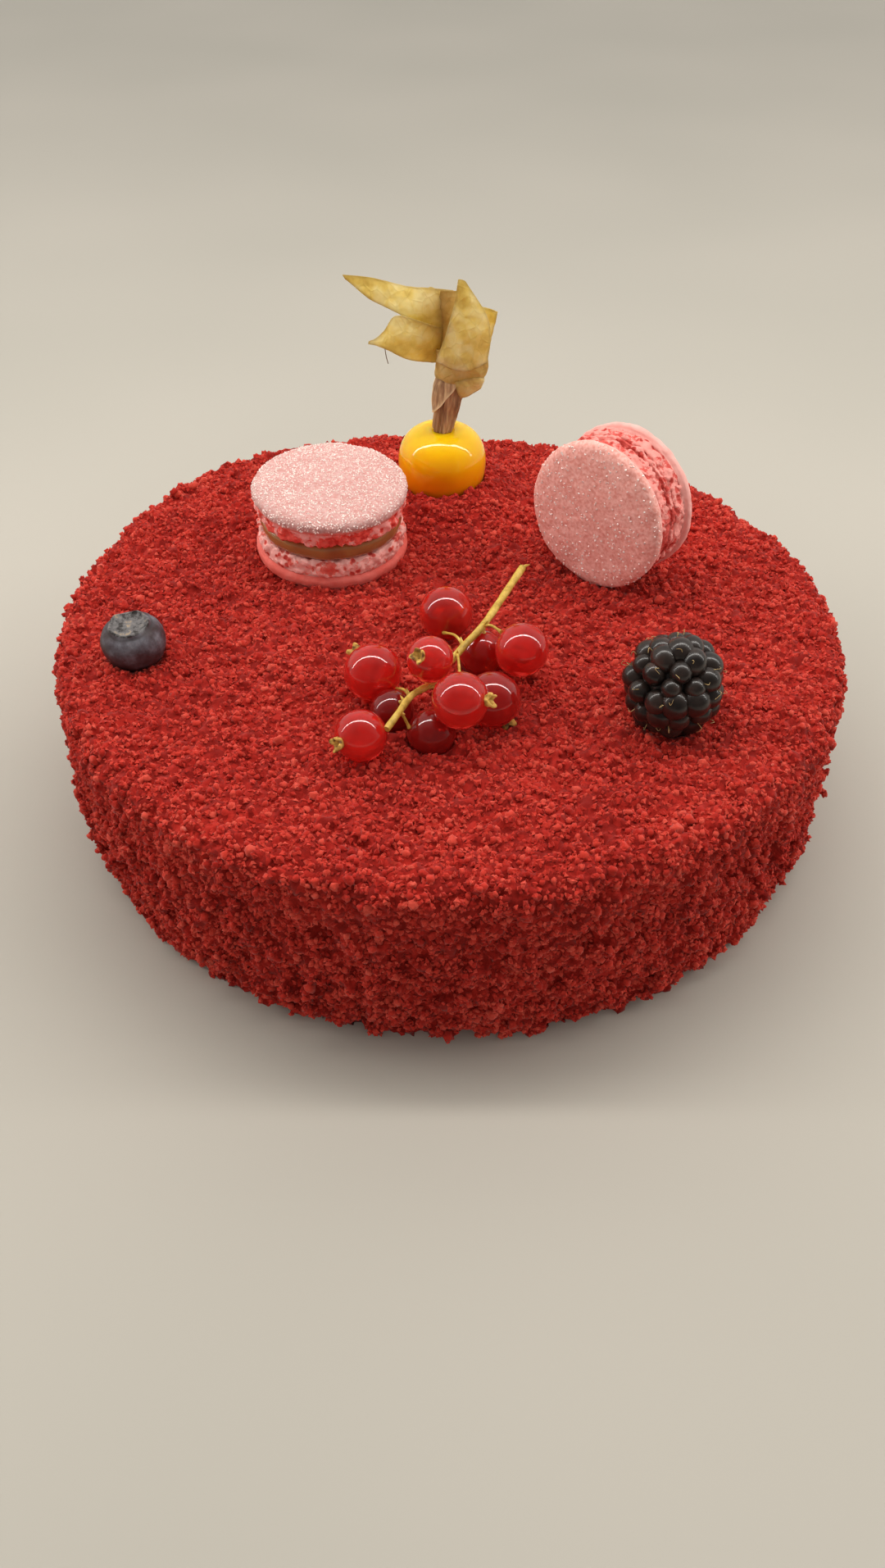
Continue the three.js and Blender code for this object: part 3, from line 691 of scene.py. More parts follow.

# How brown each sheet is. The sheet in the fold is painted brown as painted shade, and the two lobes
# at the left are painted browner over the last 7 mm beside the fold, also as painted shade.
BROWN_AND_SHADE = {"shaded_fold": 0.8, "collar": 0.45, "cuff": 0.1, "back_lobe": 0.2}
for name, net_of_places in HUSK_SHEETS.items():
    sheet = husk_sheet("husk_" + name, net_of_places)
    share = BROWN_AND_SHADE.get(name, 0.0)
    # painted shade on the left lobes beside the fold
    shade_beside_fold = 0.45 if name.endswith("left_lobe") else 0
    marked(sheet, "browned", lambda p: share + shade_beside_fold * min(1, max(0, (p.x / mm + 8) / 7)))
    handed_over(sheet, dry_husk, "dry_husk", "golden_berry_husk")


def twig(name, places, radii, sides):
    """A round twig through the places, with a radius at each, in mm."""
    curve = bpy.data.curves.new(name, "CURVE")
    curve.dimensions = "3D"
    curve.bevel_depth = mm
    curve.bevel_resolution = max(0, sides // 2 - 2)
    curve.use_fill_caps = True
    spline = curve.splines.new("POLY")
    spline.points.add(len(places) - 1)
    for point, place, radius in zip(spline.points, places, radii):
        point.co = (*(Vector(place) * mm), 1)
        point.radius = radius
    piece = bpy.data.objects.new(name, curve)
    bpy.context.scene.collection.objects.link(piece)
    alone(piece)
    bpy.ops.object.convert(target="MESH")
    return bpy.context.object


# A stray fibre hangs from the lower lobe.
FIBRE_LINE = [(-14.9, 54, 87.6), (-14.8, 54, 86.2), (-14.6, 54, 84.8), (-14.2, 54, 83.2)]
fibre = twig("husk_fibre", FIBRE_LINE, [0.11] * 4, 4)
fibre_finish, node = finish("fibre", Roughness=0.7)
tint = clouds(node, 600.0)
node.link(ramp(node, tint, [(0.4, (0.16, 0.12, 0.08)), (0.6, (0.26, 0.20, 0.13))]), "Base Color")
handed_over(fibre, fibre_finish, "dry_husk", "golden_berry_husk")

# The neck: a ribbed brown tube that leans a little to the right, with a torn flap round its front.
neck = turned(
    "husk_neck",
    [(0, 0), (2.4, 0.1), (2.7, 0.8), (2.75, 2.5), (2.9, 5), (3.15, 8), (3.3, 11), (3.2, 14), (0, 14.2)],
    40,
)
modified(neck, "SUBSURF", levels=2, render_levels=2)
for corner in neck.data.vertices:
    x, y, z = corner.co / mm
    turn = math.atan2(y, x)
    rib = 1 + 0.09 * math.sin(7 * turn + 0.1 * z) + 0.05 * math.sin(17 * turn + 2)
    corner.co = Vector((x * rib - 0.75 + 0.17 * z, y * rib + 55.5, z + 64.6)) * mm
swollen(neck, "CLOUDS", 3, 0.5, depth=1)
neck_flap = husk_sheet(
    "husk_neck_flap",
    [
        [(-3.4, 55.2, 70.2), (-3.6, 53.6, 70.4), (-2.7, 52.3, 71.4), (-1.2, 51.9, 72.9)],
        [(-3.6, 55.6, 73.6), (-3.2, 53.3, 74.0), (-1.6, 52.0, 74.7), (0.5, 51.7, 75.4)],
        [(-2.9, 56.0, 77.4), (-2.3, 53.4, 77.5), (-0.4, 52.2, 77.4), (2.4, 51.7, 77.2)],
        [(-2.3, 56.4, 80.0), (-1.4, 53.8, 80.0), (0.6, 52.8, 80.0), (3.4, 52.2, 79.8)],
    ],
    wrinkles=0.5,
)
neck_bark, node = finish("husk neck", Roughness=0.75, Specular_IOR_Level=0.3)
stretched = node("Mapping", Vector=node.place, Scale=(1.0, 1.0, 0.12)).outputs[0]
streaks = node("TexNoise", Vector=stretched, Scale=900.0, Detail=3.0).outputs["Fac"]
bark = ramp(
    node, streaks,
    [
        (0.3, (0.20, 0.10, 0.05)), (0.5, (0.42, 0.24, 0.12)), (0.62, (0.60, 0.39, 0.20)),
        (0.75, (0.74, 0.54, 0.30)),
    ],
)
torn_edge = marking(node, "edge")
node.link(mixed(node, torn_edge, bark, (0.78, 0.58, 0.33, 1)), "Base Color")
bumpy(node, streaks, 0.6, 0.3)
for piece in (neck, neck_flap):
    alone(piece)
    bpy.ops.object.shade_smooth()
    handed_over(piece, neck_bark, "dry_husk", "golden_berry_husk")


# ---- The sprig of currants ----------------------------------------------------------------------
# Ten ripe currants on one yellow-green stem, laid on the cake. The berries are tight, see-through
# skins full of juice, each hung from the stem by a thin stalk, with the dry rest of its flower on it.
CURRANTS = [
    # place, radius, where its stalk joins it, where on the stem that starts, tail's direction, how much
    # painted shade darkens it
    ((0, -8.2, 52), 6.05, (-0.08, -0.98, -0.19), 0.52, (0.1, 0.75, -0.65), 0.15),
    ((16.1, -26.6, 55.2), 5.8, (-0.75, 0.3, 0.6), 0.635, (0.5, 0.4, -0.75), 0.1),
    ((-3.35, -35.6, 59.5), 4.85, (0.41, 0.65, -0.64), 0.385, (-0.42, -0.65, 0.63), 0.0),
    ((-15.7, -30.3, 52), 6.2, (0.78, -0.5, -0.3), 0.185, (-0.57, 0.78, 0.24), 0.1),
    ((2.75, -47.5, 58.1), 5.8, (0, 0.98, 0.1), 0.475, (0.91, -0.33, 0.26), 0.0),
    ((9.7, -39.6, 52.1), 5.9, (-1, 0.1, 0.1), 0.268, (0.5, -0.1, -0.85), 0.6),
    ((-17.3, -50.8, 51.7), 5.35, None, None, (-0.74, -0.65, 0.18), 0.0),
    ((-3.1, -46.4, 48.6), 5.1, (-0.87, -0.2, 0.45), 0.09, (0.6, 0.2, -0.75), 0.8),
    ((-11.3, -40.1, 49.3), 4.6, (0.4, -0.4, 0.85), 0.15, (-0.2, 0.4, -0.9), 1.0),
    ((7.8, -20.5, 50), 5.0, (0.1, 0.1, 1), 0.63, (0.3, 0.5, -0.8), 0.5),
]
STEM_LINE = [
    (-12, -51.6, 54), (-9.7, -47.2, 54.6), (-7.2, -40.9, 54.1), (-3.35, -36.3, 53.5),
    (-0.6, -31.4, 53.5), (4.05, -24.4, 55), (8.2, -19.2, 56.6), (14.55, -5.2, 57.5), (17.5, 0.6, 58.5),
]

currant_skin, node = finish(
    "currant skin", Roughness=0.06, IOR=1.35, Transmission_Weight=0.65, Coat_Weight=0.7,
    Coat_Roughness=0.02, Subsurface_Weight=0.5, Subsurface_Scale=0.003,
    Subsurface_Radius=(1.0, 0.12, 0.08),
)
cloudy = clouds(node, 150.0, Detail=2.0)
# Painted shade: berries that lie low among the others are painted a darker red, each by its own share.
ripe = marking(node, "ripe")
bright = ramp(node, cloudy, [(0.35, (0.74, 0.026, 0.020)), (0.65, (0.88, 0.050, 0.038))])
node.link(mixed(node, ripe, bright, (0.42, 0.016, 0.014, 1)), "Base Color")

dry_flower, node = finish("dry flower", Roughness=0.8)
patchy = clouds(node, 900.0, Detail=3.0)
node.link(
    ramp(node, patchy, [(0.35, (0.14, 0.06, 0.015)), (0.5, (0.50, 0.28, 0.05)), (0.7, (0.80, 0.50, 0.13))]),
    "Base Color",
)
bumpy(node, patchy, 0.5, 0.2)

for number, (at, radius, stalk, along, tail, painted_shade) in enumerate(CURRANTS, 1):
    bpy.ops.object.select_all(action="DESELECT")
    bpy.ops.mesh.primitive_uv_sphere_add(segments=48, ring_count=28, radius=radius * mm)
    currant = bpy.context.object
    currant.name = f"currant_{number}_skin"
    swollen(currant, "CLOUDS", 9, 0.35, depth=0)
    set_down(currant, at, tail)
    currant.data.attributes.new("ripe", "FLOAT", "POINT").data.foreach_set(
        "value", [painted_shade] * len(currant.data.vertices)
    )
    handed_over(currant, currant_skin, "currant_skin", f"currant_{number}")
    # the tail is a short ragged cup of four dry lobes
    tuft = turned(
        f"currant_{number}_tail",
        [
            (0, -0.5), (0.95, -0.4), (1.3, 0.2), (1.45, 0.8), (1.6, 1.4), (1.3, 1.5), (0.8, 0.9),
            (0.5, 0.4), (0, 0.3),
        ],
        20,
    )
    modified(tuft, "SUBSURF", levels=1, render_levels=1)
    for corner in tuft.data.vertices:
        x, y, z = corner.co / mm
        turn = math.atan2(y, x) + number
        if z > 0.6:
            z += 0.5 * math.cos(4 * turn) * (z - 0.6)
            squeeze = 1 + 0.16 * math.cos(4 * turn + 0.5) + 0.1 * math.sin(3 * turn + number)
            x, y = x * squeeze, y * squeeze
        corner.co = Vector((x, y, z + radius - 0.15)) * mm
    swollen(tuft, "CLOUDS", 0.8, 0.35, depth=0)
    set_down(tuft, at, tail)
    handed_over(tuft, dry_flower, "dry_husk", f"currant_{number}")


def curve_point(line, share):
    """The place at this share of the length of a smooth line through the places."""
    places = [Vector(p) for p in line]
    places = [2 * places[0] - places[1], *places, 2 * places[-1] - places[-2]]
    fine = []
    for a, b, c, d in zip(places, places[1:], places[2:], places[3:]):
        for k in range(12):
            t = k / 12
            second, third = 2 * a - 5 * b + 4 * c - d, 3 * b - a - 3 * c + d
            fine.append(0.5 * (2 * b + (c - a) * t + second * t**2 + third * t**3))
    fine.append(places[-2])
    lengths = [(b - a).length for a, b in zip(fine, fine[1:])]
    left = share * sum(lengths)
    for a, b, length in zip(fine, fine[1:], lengths):
        if left <= length:
            return a.lerp(b, left / length)
        left -= length
    return fine[-1]


def joined(pieces, name):
    """The pieces as one mesh of this name."""
    alone(pieces[0])
    for piece in pieces:
        piece.select_set(True)
    bpy.ops.object.join()
    pieces[0].name = name
    return alone(pieces[0])


STEPS = 60
# the bract where a stalk leaves the stem: how far it reaches out and up, in mm
BRACT = [(0.3, 0), (1.2, 0.5), (2, 1.2)]
places = [curve_point(STEM_LINE, i / STEPS) for i in range(STEPS + 1)]
radii = [0.7 + 0.15 * i / STEPS + 0.04 * math.sin(i * 0.9) for i in range(STEPS + 1)]
parts = [twig("currant_stem", places, radii, 12)]
for at, radius, stalk, along, *_ in CURRANTS:
    if stalk:
        start = curve_point(STEM_LINE, along)
        end = Vector(at) + Vector(stalk).normalized() * (radius + 0.05)
        arch = start.lerp(end, 0.45) + Vector((0, 0, 0.1 * (end - start).length))
        line = [curve_point([start, arch, end], i / 14) for i in range(15)]
        thick = [0.3 + 0.35 * max(0, 1 - i / 2.5) + 0.16 * max(0, (i - 11) / 3) for i in range(15)]
        parts.append(twig("stalk", line, thick, 8))
        out = (line[4] - line[0]).normalized()
        bract = [start + out * reach + Vector((0, 0, rise)) for reach, rise in BRACT]
        parts.append(twig("bract", bract, [0.5, 0.32, 0.06], 6))
# the stem's upper end is torn to a splinter
end = places[-1]
away = (end - places[-3]).normalized()
splinter = [
    end - away * 0.5, end + away * 0.6 + Vector((0.4, 0, 0)), end + away * 1.1 + Vector((1.2, -0.2, 0.1)),
]
parts.append(twig("splinter", splinter, [0.5, 0.35, 0.08], 6))
stem = joined(parts, "currant_stem_and_stalks")
bpy.ops.object.shade_smooth_by_angle(angle=math.radians(50))
green_stem, node = finish("green stem", Roughness=0.5, Specular_IOR_Level=0.4, Subsurface_Weight=0.0)
streaked = clouds(node, 420.0, Detail=4.0, Roughness=0.65)
node.link(
    ramp(node, streaked, [(0.3, (0.30, 0.17, 0.02)), (0.5, (0.56, 0.36, 0.055)), (0.72, (0.74, 0.51, 0.13))]),
    "Base Color",
)
bumpy(node, streaked, 0.3, 0.2)
handed_over(stem, green_stem, "stem", "currant_stem")


# ---- The blueberry ------------------------------------------------------------------------------
# One blueberry, sunk a little in the crumbs, its crown tipped to the front. The skin is dark, under
# a dusty grey-blue bloom, and the crown is a low wavy rim round a dry, flat disc.
BLUEBERRY_AT, BLUEBERRY_AXIS = (-68.9, -18.7, 51.8), (-0.06, -0.12, 0.99)
blueberry = turned(
    "blueberry_skin",
    [
        (0, -5.8), (2.4, -5.6), (4.7, -4.7), (6.3, -3.1), (7.1, -1.1), (7.2, 0.6), (6.8, 2.3),
        (6.0, 3.7), (5.2, 4.4), (4.75, 4.65), (4.55, 5.0), (4.4, 5.3), (4.15, 5.3), (3.9, 5.0),
        (3.5, 4.75), (2.6, 4.6), (1.2, 4.55), (0.7, 4.8), (0, 4.85),
    ],
    60,
)
modified(blueberry, "SUBSURF", levels=1, render_levels=1)
marked(blueberry, "crown", lambda p: float(p.z > 4.0 * mm and p.to_2d().length < 4.5 * mm))
from_crease = lambda p: (p.to_2d().length / mm - 4.9) / 0.3
marked(blueberry, "crease", lambda p: float(p.z > 4 * mm) * math.exp(-(from_crease(p) ** 2)))
for corner in blueberry.data.vertices:
    x, y, z = corner.co / mm
    turn, reach = math.atan2(y, x), math.hypot(x, y)
    if z > 4.6 and reach > 3.4:
        share = (z - 4.6) / 0.8
        z += share * (0.25 * math.cos(5 * turn) + 0.12 * math.sin(2 * turn + 1))
        grow = 1 + share * (0.05 * math.cos(5 * turn + 0.3) - 0.03)
        x, y = x * grow, y * grow
    corner.co = Vector((x, y, z)) * mm
swollen(blueberry, "CLOUDS", 7, 0.5, depth=0)
swollen(blueberry, "CLOUDS", 1.2, 0.18, depth=1)
set_down(blueberry, BLUEBERRY_AT, BLUEBERRY_AXIS)
blue_skin, node = finish("blue skin", Roughness=0.5, Specular_IOR_Level=0.4)
crown = marking(node, "crown")
bloom = clouds(node, 260.0, Detail=5.0, Roughness=0.6)
# The skin's colour is darker towards the bottom and greyer towards the top.
height = node("SeparateXYZ", _0=node.place).outputs["Z"]
rise = node("MapRange", Value=height, _1=47 * mm, _2=59 * mm, _3=-0.22, _4=0.12).outputs[0]
skin_tone_by_height = worked_out(node, "ADD", bloom, rise)
skin = ramp(
    node, skin_tone_by_height,
    [
        (0.32, (0.035, 0.016, 0.017)), (0.45, (0.060, 0.042, 0.050)), (0.58, (0.11, 0.10, 0.118)),
        (0.72, (0.19, 0.19, 0.215)),
    ],
)
creases = clouds(node, 520.0, Detail=4.0, Roughness=0.7)
fleck = ramp(
    node, creases,
    [
        (0.40, (0.020, 0.015, 0.014)), (0.47, (0.10, 0.09, 0.09)), (0.56, (0.15, 0.14, 0.14)),
        (0.64, (0.30, 0.22, 0.15)),
    ],
)
# Painted shade: the crease round the crown is painted almost black.
crease = marking(node, "crease")
crease = worked_out(node, "MULTIPLY", crease, 0.75)
topped = mixed(node, crown, skin, fleck)
node.link(mixed(node, crease, topped, (0.025, 0.016, 0.017, 1)), "Base Color")
bumpy(node, bloom, 0.25, 0.2)
handed_over(blueberry, blue_skin, "blue_skin", "blueberry")


# ---- The bramble --------------------------------------------------------------------------------
# One dark bramble, standing on its stalk end: some fifty juicy drupelets packed round a core, each
# pressed flat against the next, with the dry golden styles of its flowers curled between them.
BRAMBLE_AT, BRAMBLE_AXIS = (46.8, -39.6, 56), (0.03, -0.08, 1)
BRAMBLE_RADIUS, BRAMBLE_HALF, DRUPELET = 7.9, 8.8, 2.6
# degrees down from the tip, and how many drupelets lie there
DRUPELET_RINGS = [(0, 1), (29, 6), (56, 10), (82, 13), (108, 13), (134, 10), (156, 5)]
draw = random.Random(11)
bpy.ops.object.select_all(action="DESELECT")
bpy.ops.mesh.primitive_uv_sphere_add(segments=32, ring_count=20, radius=1 * mm)
core = bpy.context.object
core.name = "bramble_core"
core.data.transform(Matrix.Diagonal((BRAMBLE_RADIUS - 0.6, BRAMBLE_RADIUS - 0.6, BRAMBLE_HALF - 0.6, 1)))
drupes, styles = [core], []
for ring, (degrees, count) in enumerate(DRUPELET_RINGS):
    for i in range(count):
        down = math.radians(degrees + draw.uniform(-6, 6))
        turn = 2 * math.pi * (i + 0.5 * (ring % 2) + draw.uniform(-0.2, 0.2)) / count
        out = Vector((math.sin(down) * math.cos(turn), math.sin(down) * math.sin(turn), math.cos(down)))
        centre = Vector((out.x * BRAMBLE_RADIUS, out.y * BRAMBLE_RADIUS, out.z * BRAMBLE_HALF))
        size = DRUPELET * draw.uniform(0.86, 1.2)
        bpy.ops.object.select_all(action="DESELECT")
        bpy.ops.mesh.primitive_uv_sphere_add(segments=20, ring_count=14, radius=size * mm)
        drupe = bpy.context.object
        squash = Matrix.Diagonal((draw.uniform(0.9, 1.08), draw.uniform(0.94, 1.12), 1.0, 1))
        turned_out = Vector((0, 0, 1)).rotation_difference(out).to_matrix().to_4x4()
        drupe.data.transform(Matrix.Translation(centre * mm) @ turned_out @ squash)
        drupes.append(drupe)
        if draw.random() < 0.75:
            askew = Vector([draw.uniform(-1, 1) for _ in range(3)])
            side = out.cross(askew).normalized()
            root = centre + side * size * 0.75 + out * size * 0.6
            curl = side.cross(out) * draw.uniform(-2.2, 2.2)
            reach = draw.uniform(0.8, 1.8)
            tip = root + out * reach * 0.6 + curl + side * draw.uniform(-1, 1)
            bow = [root, root + out * reach + curl * 0.3, tip]
            styles.append([curve_point(bow, k / 7) for k in range(8)])
bramble = joined(drupes, "bramble_drupelets")
set_down(bramble, BRAMBLE_AT, BRAMBLE_AXIS)
dark_skin, node = finish(
    "dark skin", Roughness=0.3, Coat_Weight=0.3, Coat_Roughness=0.1, Specular_IOR_Level=0.35
)
murky = clouds(node, 300.0, Detail=3.0)
node.link(
    ramp(
        node, murky,
        [(0.35, (0.010, 0.007, 0.006)), (0.6, (0.026, 0.017, 0.014)), (0.8, (0.050, 0.022, 0.017))],
    ),
    "Base Color",
)
bumpy(node, murky, 0.2, 0.3)
handed_over(bramble, dark_skin, "dark_skin", "bramble")

STYLE_RADII = [0.08, 0.08, 0.08, 0.08, 0.07, 0.07, 0.06, 0.04]
hairs = [twig("style", line, STYLE_RADII, 4) for line in styles]
hair = joined(hairs, "bramble_styles")
set_down(hair, BRAMBLE_AT, BRAMBLE_AXIS)
golden_hair, node = finish("golden hair", Roughness=0.5)
tint = clouds(node, 600.0)
node.link(ramp(node, tint, [(0.4, (0.30, 0.19, 0.07)), (0.6, (0.58, 0.41, 0.18))]), "Base Color")
handed_over(hair, golden_hair, "dry_husk", "bramble")


# ---- The loose crumbs and the sugar -------------------------------------------------------------
# Grains of sponge that cling to the crust, strewn until it no longer shows: lumps that stayed whole
# and fine crumbs between them. The same way strews the sugar that is sifted over the macarons.
def strewn(name, ground, grains, seed, per_mm2, smallest, largest, where, sunk=0.0, clump=6.0, thin=1.0):
    """Grains of the given shapes, turned at random, as one mesh, where the ground is marked with 1. They
    lie in clumps of this size in mm, with this share of their number between the clumps."""
    shapes = bpy.data.collections.new(name + " shapes")
    for grain in grains:
        shapes.objects.link(grain)
    tree = bpy.data.node_groups.new(name, "GeometryNodeTree")
    tree.interface.new_socket("Geometry", in_out="INPUT", socket_type="NodeSocketGeometry")
    tree.interface.new_socket("Geometry", in_out="OUTPUT", socket_type="NodeSocketGeometry")
    step = node_maker(tree)
    surface = step("NodeGroupInput").outputs[0]
    open_to = step("GeometryNodeInputNamedAttribute", {"data_type": "FLOAT"}, Name=where).outputs[0]
    patches = step("ShaderNodeTexNoise", Scale=1 / (clump * mm), Detail=1.0).outputs[0]
    share = step("ShaderNodeMapRange", Value=patches, _1=0.38, _2=0.56, _3=thin, _4=1.0).outputs[0]
    share = step("ShaderNodeMath", {"operation": "MULTIPLY"}, _0=share, _1=open_to).outputs[0]
    density = step("ShaderNodeMath", {"operation": "MULTIPLY"}, _0=share, _1=per_mm2 / mm**2).outputs[0]
    spread = step("GeometryNodeDistributePointsOnFaces", Mesh=surface, Density=density, Seed=seed)
    shape = step(
        "GeometryNodeCollectionInfo", Collection=shapes, Separate_Children=True, Reset_Children=True
    ).outputs[0]
    turn = step(
        "FunctionNodeRandomValue", {"data_type": "FLOAT_VECTOR"}, _0=(0, 0, 0), _1=(6.3, 6.3, 6.3), Seed=seed
    )
    size = step(
        "FunctionNodeRandomValue", {"data_type": "FLOAT_VECTOR"},
        _0=(smallest,) * 3, _1=(largest,) * 3, Seed=seed + 1,
    )
    rotation = step("FunctionNodeEulerToRotation", Euler=turn.outputs[0])
    lower = step(
        "ShaderNodeVectorMath", {"operation": "SCALE"}, _0=spread.outputs["Normal"], Scale=-sunk * mm
    )
    points = step("GeometryNodeSetPosition", Geometry=spread.outputs["Points"], Offset=lower.outputs[0])
    placed = step(
        "GeometryNodeInstanceOnPoints", Points=points.outputs[0], Instance=shape, Pick_Instance=True,
        Rotation=rotation.outputs[0], Scale=size.outputs[0],
    )
    tone = step("FunctionNodeRandomValue", {"data_type": "FLOAT"}, _2=0.15, _3=0.8, Seed=seed + 2)
    toned = step(
        "GeometryNodeStoreNamedAttribute", {"data_type": "FLOAT", "domain": "INSTANCE"},
        Geometry=placed.outputs[0], Name="tone", Value=tone.outputs[1],
    )
    real = step("GeometryNodeRealizeInstances", Geometry=toned.outputs[0])
    step("NodeGroupOutput", _0=real.outputs[0])

    alone(ground)
    bpy.ops.object.duplicate()
    heap = bpy.context.object
    heap.name = name
    heap.data.materials.clear()
    modified(heap, "NODES", node_group=tree)
    bpy.data.collections.remove(shapes)
    return heap


def grain_shapes(subdivisions, count, ragged, seed):
    """Small uneven lumps of 1 mm, all different."""
    made = []
    for k in range(count):
        bpy.ops.object.select_all(action="DESELECT")
        bpy.ops.mesh.primitive_ico_sphere_add(subdivisions=subdivisions, radius=0.5 * mm)
        grain = bpy.context.object
        grain.name = f"grain {subdivisions} {k}"
        bpy.ops.object.mode_set(mode="EDIT")
        bpy.ops.mesh.select_all(action="SELECT")
        bpy.ops.transform.vertex_random(offset=ragged * mm, uniform=0.5, seed=seed + k)
        bpy.ops.object.mode_set(mode="OBJECT")
        made.append(grain)
    return made


def chipped_grains(count, ragged, seed):
    """The smallest grains: double pyramids with eight uneven faces."""
    made = []
    for k in range(count):
        bpy.ops.object.select_all(action="DESELECT")
        bpy.ops.mesh.primitive_circle_add(vertices=4, radius=0.5 * mm)
        grain = bpy.context.object
        grain.name = f"fine grain {k}"
        bpy.ops.object.mode_set(mode="EDIT")
        bpy.ops.mesh.select_mode(type="VERT")
        bpy.ops.mesh.select_all(action="SELECT")
        bpy.ops.mesh.extrude_region_move(TRANSFORM_OT_translate={"value": (0, 0, 0.5 * mm)})
        bpy.ops.mesh.merge(type="CENTER")
        bpy.ops.mesh.select_all(action="DESELECT")
        bpy.ops.mesh.select_non_manifold()
        bpy.ops.mesh.extrude_region_move(TRANSFORM_OT_translate={"value": (0, 0, -0.5 * mm)})
        bpy.ops.mesh.merge(type="CENTER")
        bpy.ops.mesh.select_all(action="SELECT")
        bpy.ops.mesh.normals_make_consistent(inside=False)
        bpy.ops.transform.vertex_random(offset=ragged * mm, uniform=0.5, seed=seed + k)
        bpy.ops.object.mode_set(mode="OBJECT")
        made.append(grain)
    return made


def forget(objects):
    """Removes what was only a means, such as a grain that has been strewn."""
    for unwanted in objects:
        bpy.data.objects.remove(unwanted)


# The ground they lie on: a copy of the whole crust, from just above the foot.
alone(crust)
side_crust.select_set(True)
bpy.ops.object.duplicate()
bpy.ops.object.join()
ground = bpy.context.object
ground.parent = None
selected_faces(ground, lambda face: face.center.z < 0.8 * mm)
bpy.ops.mesh.delete(type="FACE")
bpy.ops.object.mode_set(mode="OBJECT")

crumbs_finish = crumb_finish("crumbs", lambda node: marking(node, "tone"), 0.36)
lumps = grain_shapes(2, 6, 0.2, 3)
coarse = grain_shapes(1, 8, 0.18, 20)
fine = chipped_grains(8, 0.2, 40)
CRUMBS = [
    # name, shapes, seed, grains per mm2, smallest and largest in mm, clump in mm, share between clumps
    ("crumb_lumps", lumps, 5, 0.018, 1.4, 2.5, 7.0, 0.3),
    ("crumbs_coarse", coarse, 15, 0.12, 1.0, 1.9, 5.0, 0.3),
    ("crumbs_fine_1", fine, 25, 0.36, 0.9, 1.6, 5.0, 0.45),
    ("crumbs_fine_2", fine, 35, 0.36, 0.8, 1.5, 8.0, 0.45),
    ("crumbs_fine_3", fine, 45, 0.36, 0.7, 1.4, 6.0, 0.45),
]
for name, shapes, seed, per_mm2, smallest, largest, clump, thin in CRUMBS:
    crumbs = strewn(name, ground, shapes, seed, per_mm2, smallest, largest, "open", 0, clump, thin)
    alone(crumbs)
    if shapes != fine:
        bpy.ops.object.shade_smooth()
    handed_over(crumbs, crumbs_finish, "crumbs", "cake")
forget([ground, *lumps, *coarse, *fine])

# Sugar: small broken crystals that catch the light.
crystals = []
for k in range(3):
    bpy.ops.object.select_all(action="DESELECT")
    bpy.ops.mesh.primitive_cube_add(size=1 * mm)
    crystal = bpy.context.object
    bpy.ops.object.mode_set(mode="EDIT")
    bpy.ops.mesh.select_all(action="SELECT")
    bpy.ops.transform.vertex_random(offset=0.15 * mm, uniform=0.3, seed=k)
    bpy.ops.object.mode_set(mode="OBJECT")
    crystals.append(crystal)
sugar_finish, node = finish("sugar", Roughness=0.2, Specular_IOR_Level=0.6)
tint = clouds(node, 500.0)
node.link(ramp(node, tint, [(0.4, (0.89, 0.66, 0.61)), (0.6, (0.95, 0.81, 0.76))]), "Base Color")
for number, (name, shell, sugar) in enumerate(sugared):
    strewn_sugar = strewn(name + "_sugar", shell, crystals, 50 + number, *sugar, "sugar", 0.05)
    handed_over(strewn_sugar, sugar_finish, "macaron", name)
forget(crystals)


# ---- The studio ---------------------------------------------------------------------------------
# A plain pale floor under soft light: a long tube lamp overhead, a broad light behind the cake and
# weaker ones in front and at the sides. The camera looks down at the front of the cake.
bpy.ops.object.select_all(action="DESELECT")
bpy.ops.mesh.primitive_plane_add(size=8)
floor = bpy.context.object
floor.name = "floor"
floor_finish, node = finish("pale floor", Roughness=0.6, Specular_IOR_Level=0.2)
cloudy = clouds(node, 6.0, Detail=1.0)
node.link(ramp(node, cloudy, [(0.3, (0.43, 0.405, 0.355)), (0.7, (0.46, 0.43, 0.378))]), "Base Color")
floor.data.materials.append(floor_finish)

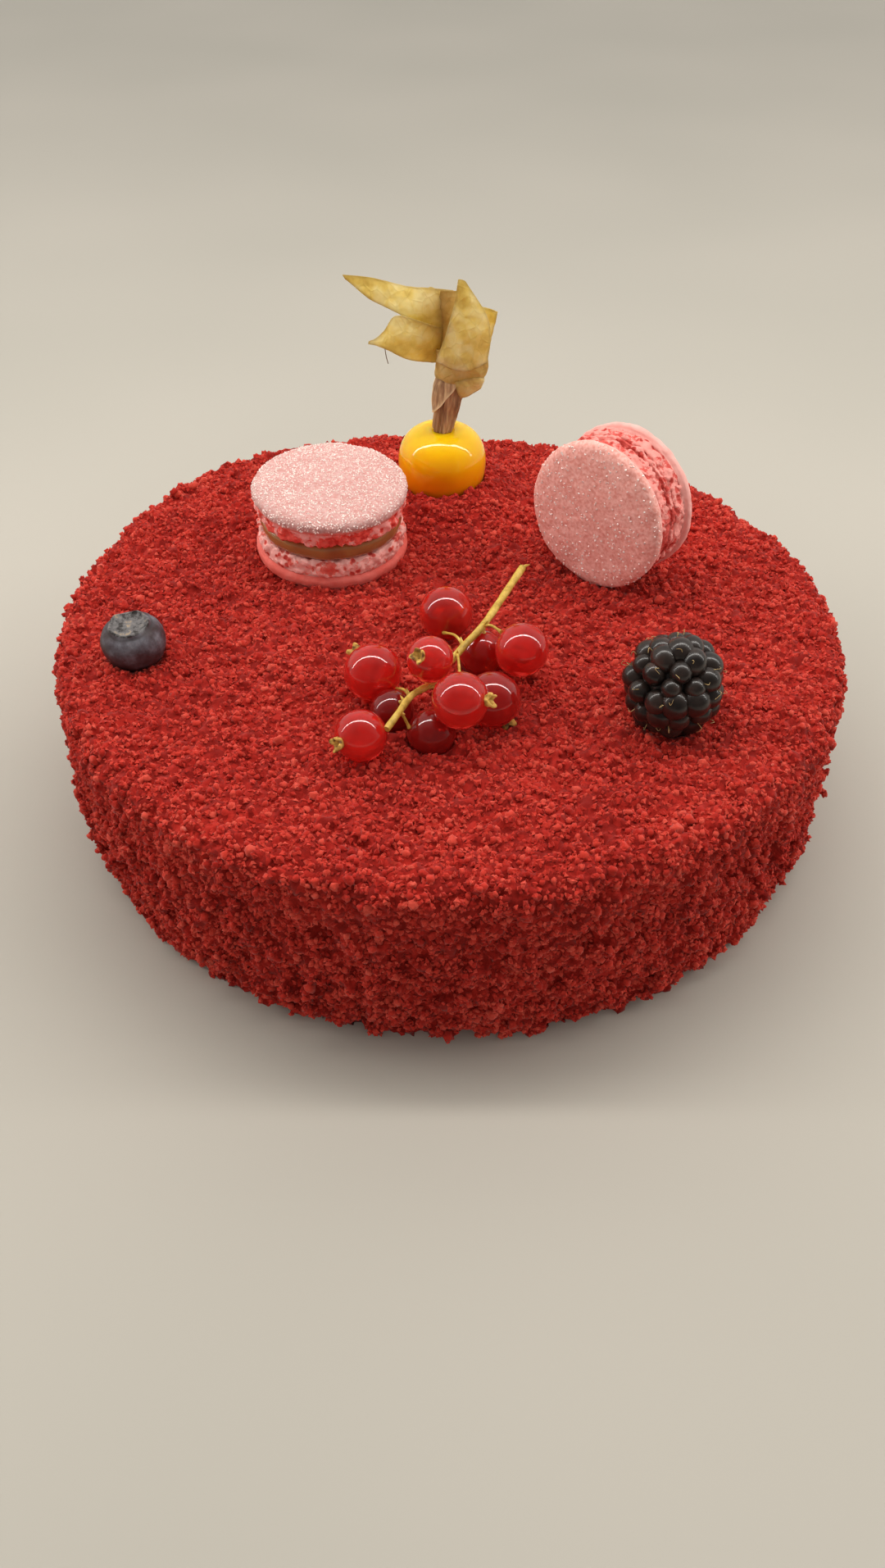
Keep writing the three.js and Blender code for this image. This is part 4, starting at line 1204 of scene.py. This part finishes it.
# Only the tube lamp is mirrored in the berries.
LAMPS = [
    # name, place, tilt in degrees, width, depth, power
    ("tube lamp", (0, 0.077, 0.55), (0, 0), 5, 0.055, 13.5),
    ("back light", (0, 1.1, 0.85), (-90, 0), 4.4, 1.7, 20),
    ("front light", (0, -1.1, 0.7), (62, 0), 3, 1.4, 7),
    ("left light", (-1.5, -0.1, 0.6), (0, -70), 1.6, 1.0, 4.5),
    ("right light", (1.5, -0.1, 0.6), (0, 70), 1.6, 1.0, 4.5),
]
for name, at, tilt, width, depth, power in LAMPS:
    light = bpy.data.lights.new(name, "AREA")
    light.shape, light.size, light.size_y = "RECTANGLE", width, depth
    light.energy, light.color = power, (1, 0.97, 0.92)
    lamp = bpy.data.objects.new(name, light)
    lamp.location = at
    lamp.rotation_euler = (*map(math.radians, tilt), 0)
    lamp.visible_camera = False
    lamp.visible_glossy = name == "tube lamp"
    bpy.context.scene.collection.objects.link(lamp)

# The light all round is pale behind the cake, and dim behind the camera.
surroundings = bpy.data.worlds.new("surroundings")
bpy.context.scene.world = surroundings
surroundings.use_nodes = True
node = node_maker(surroundings.node_tree, "ShaderNode")
direction = node("TexCoord").outputs["Generated"]
backward = node("SeparateXYZ", _0=direction).outputs["Y"]
shade = node(
    "MapRange", {"interpolation_type": "SMOOTHSTEP"}, Value=backward, _1=-0.55, _2=0.35, _3=0.10, _4=0.62
)
background = surroundings.node_tree.nodes["Background"]
background.inputs["Color"].default_value = (0.95, 0.93, 0.88, 1)
surroundings.node_tree.links.new(shade.outputs[0], background.inputs["Strength"])

# The camera, at the photo's own place and lens.
camera = bpy.data.objects.new("camera", bpy.data.cameras.new("camera"))
camera.data.sensor_width = 36
camera.data.lens = 28.98
camera.location = (-0.8 * mm, -246 * mm, 216.2 * mm)
LOOKS_DOWN = 42.33  # degrees
camera.rotation_euler = (math.radians(90 - LOOKS_DOWN), 0, 0)
camera.data.clip_start = 0.01
bpy.context.scene.collection.objects.link(camera)
bpy.context.scene.camera = camera
bpy.context.scene.view_settings.view_transform = "Standard"
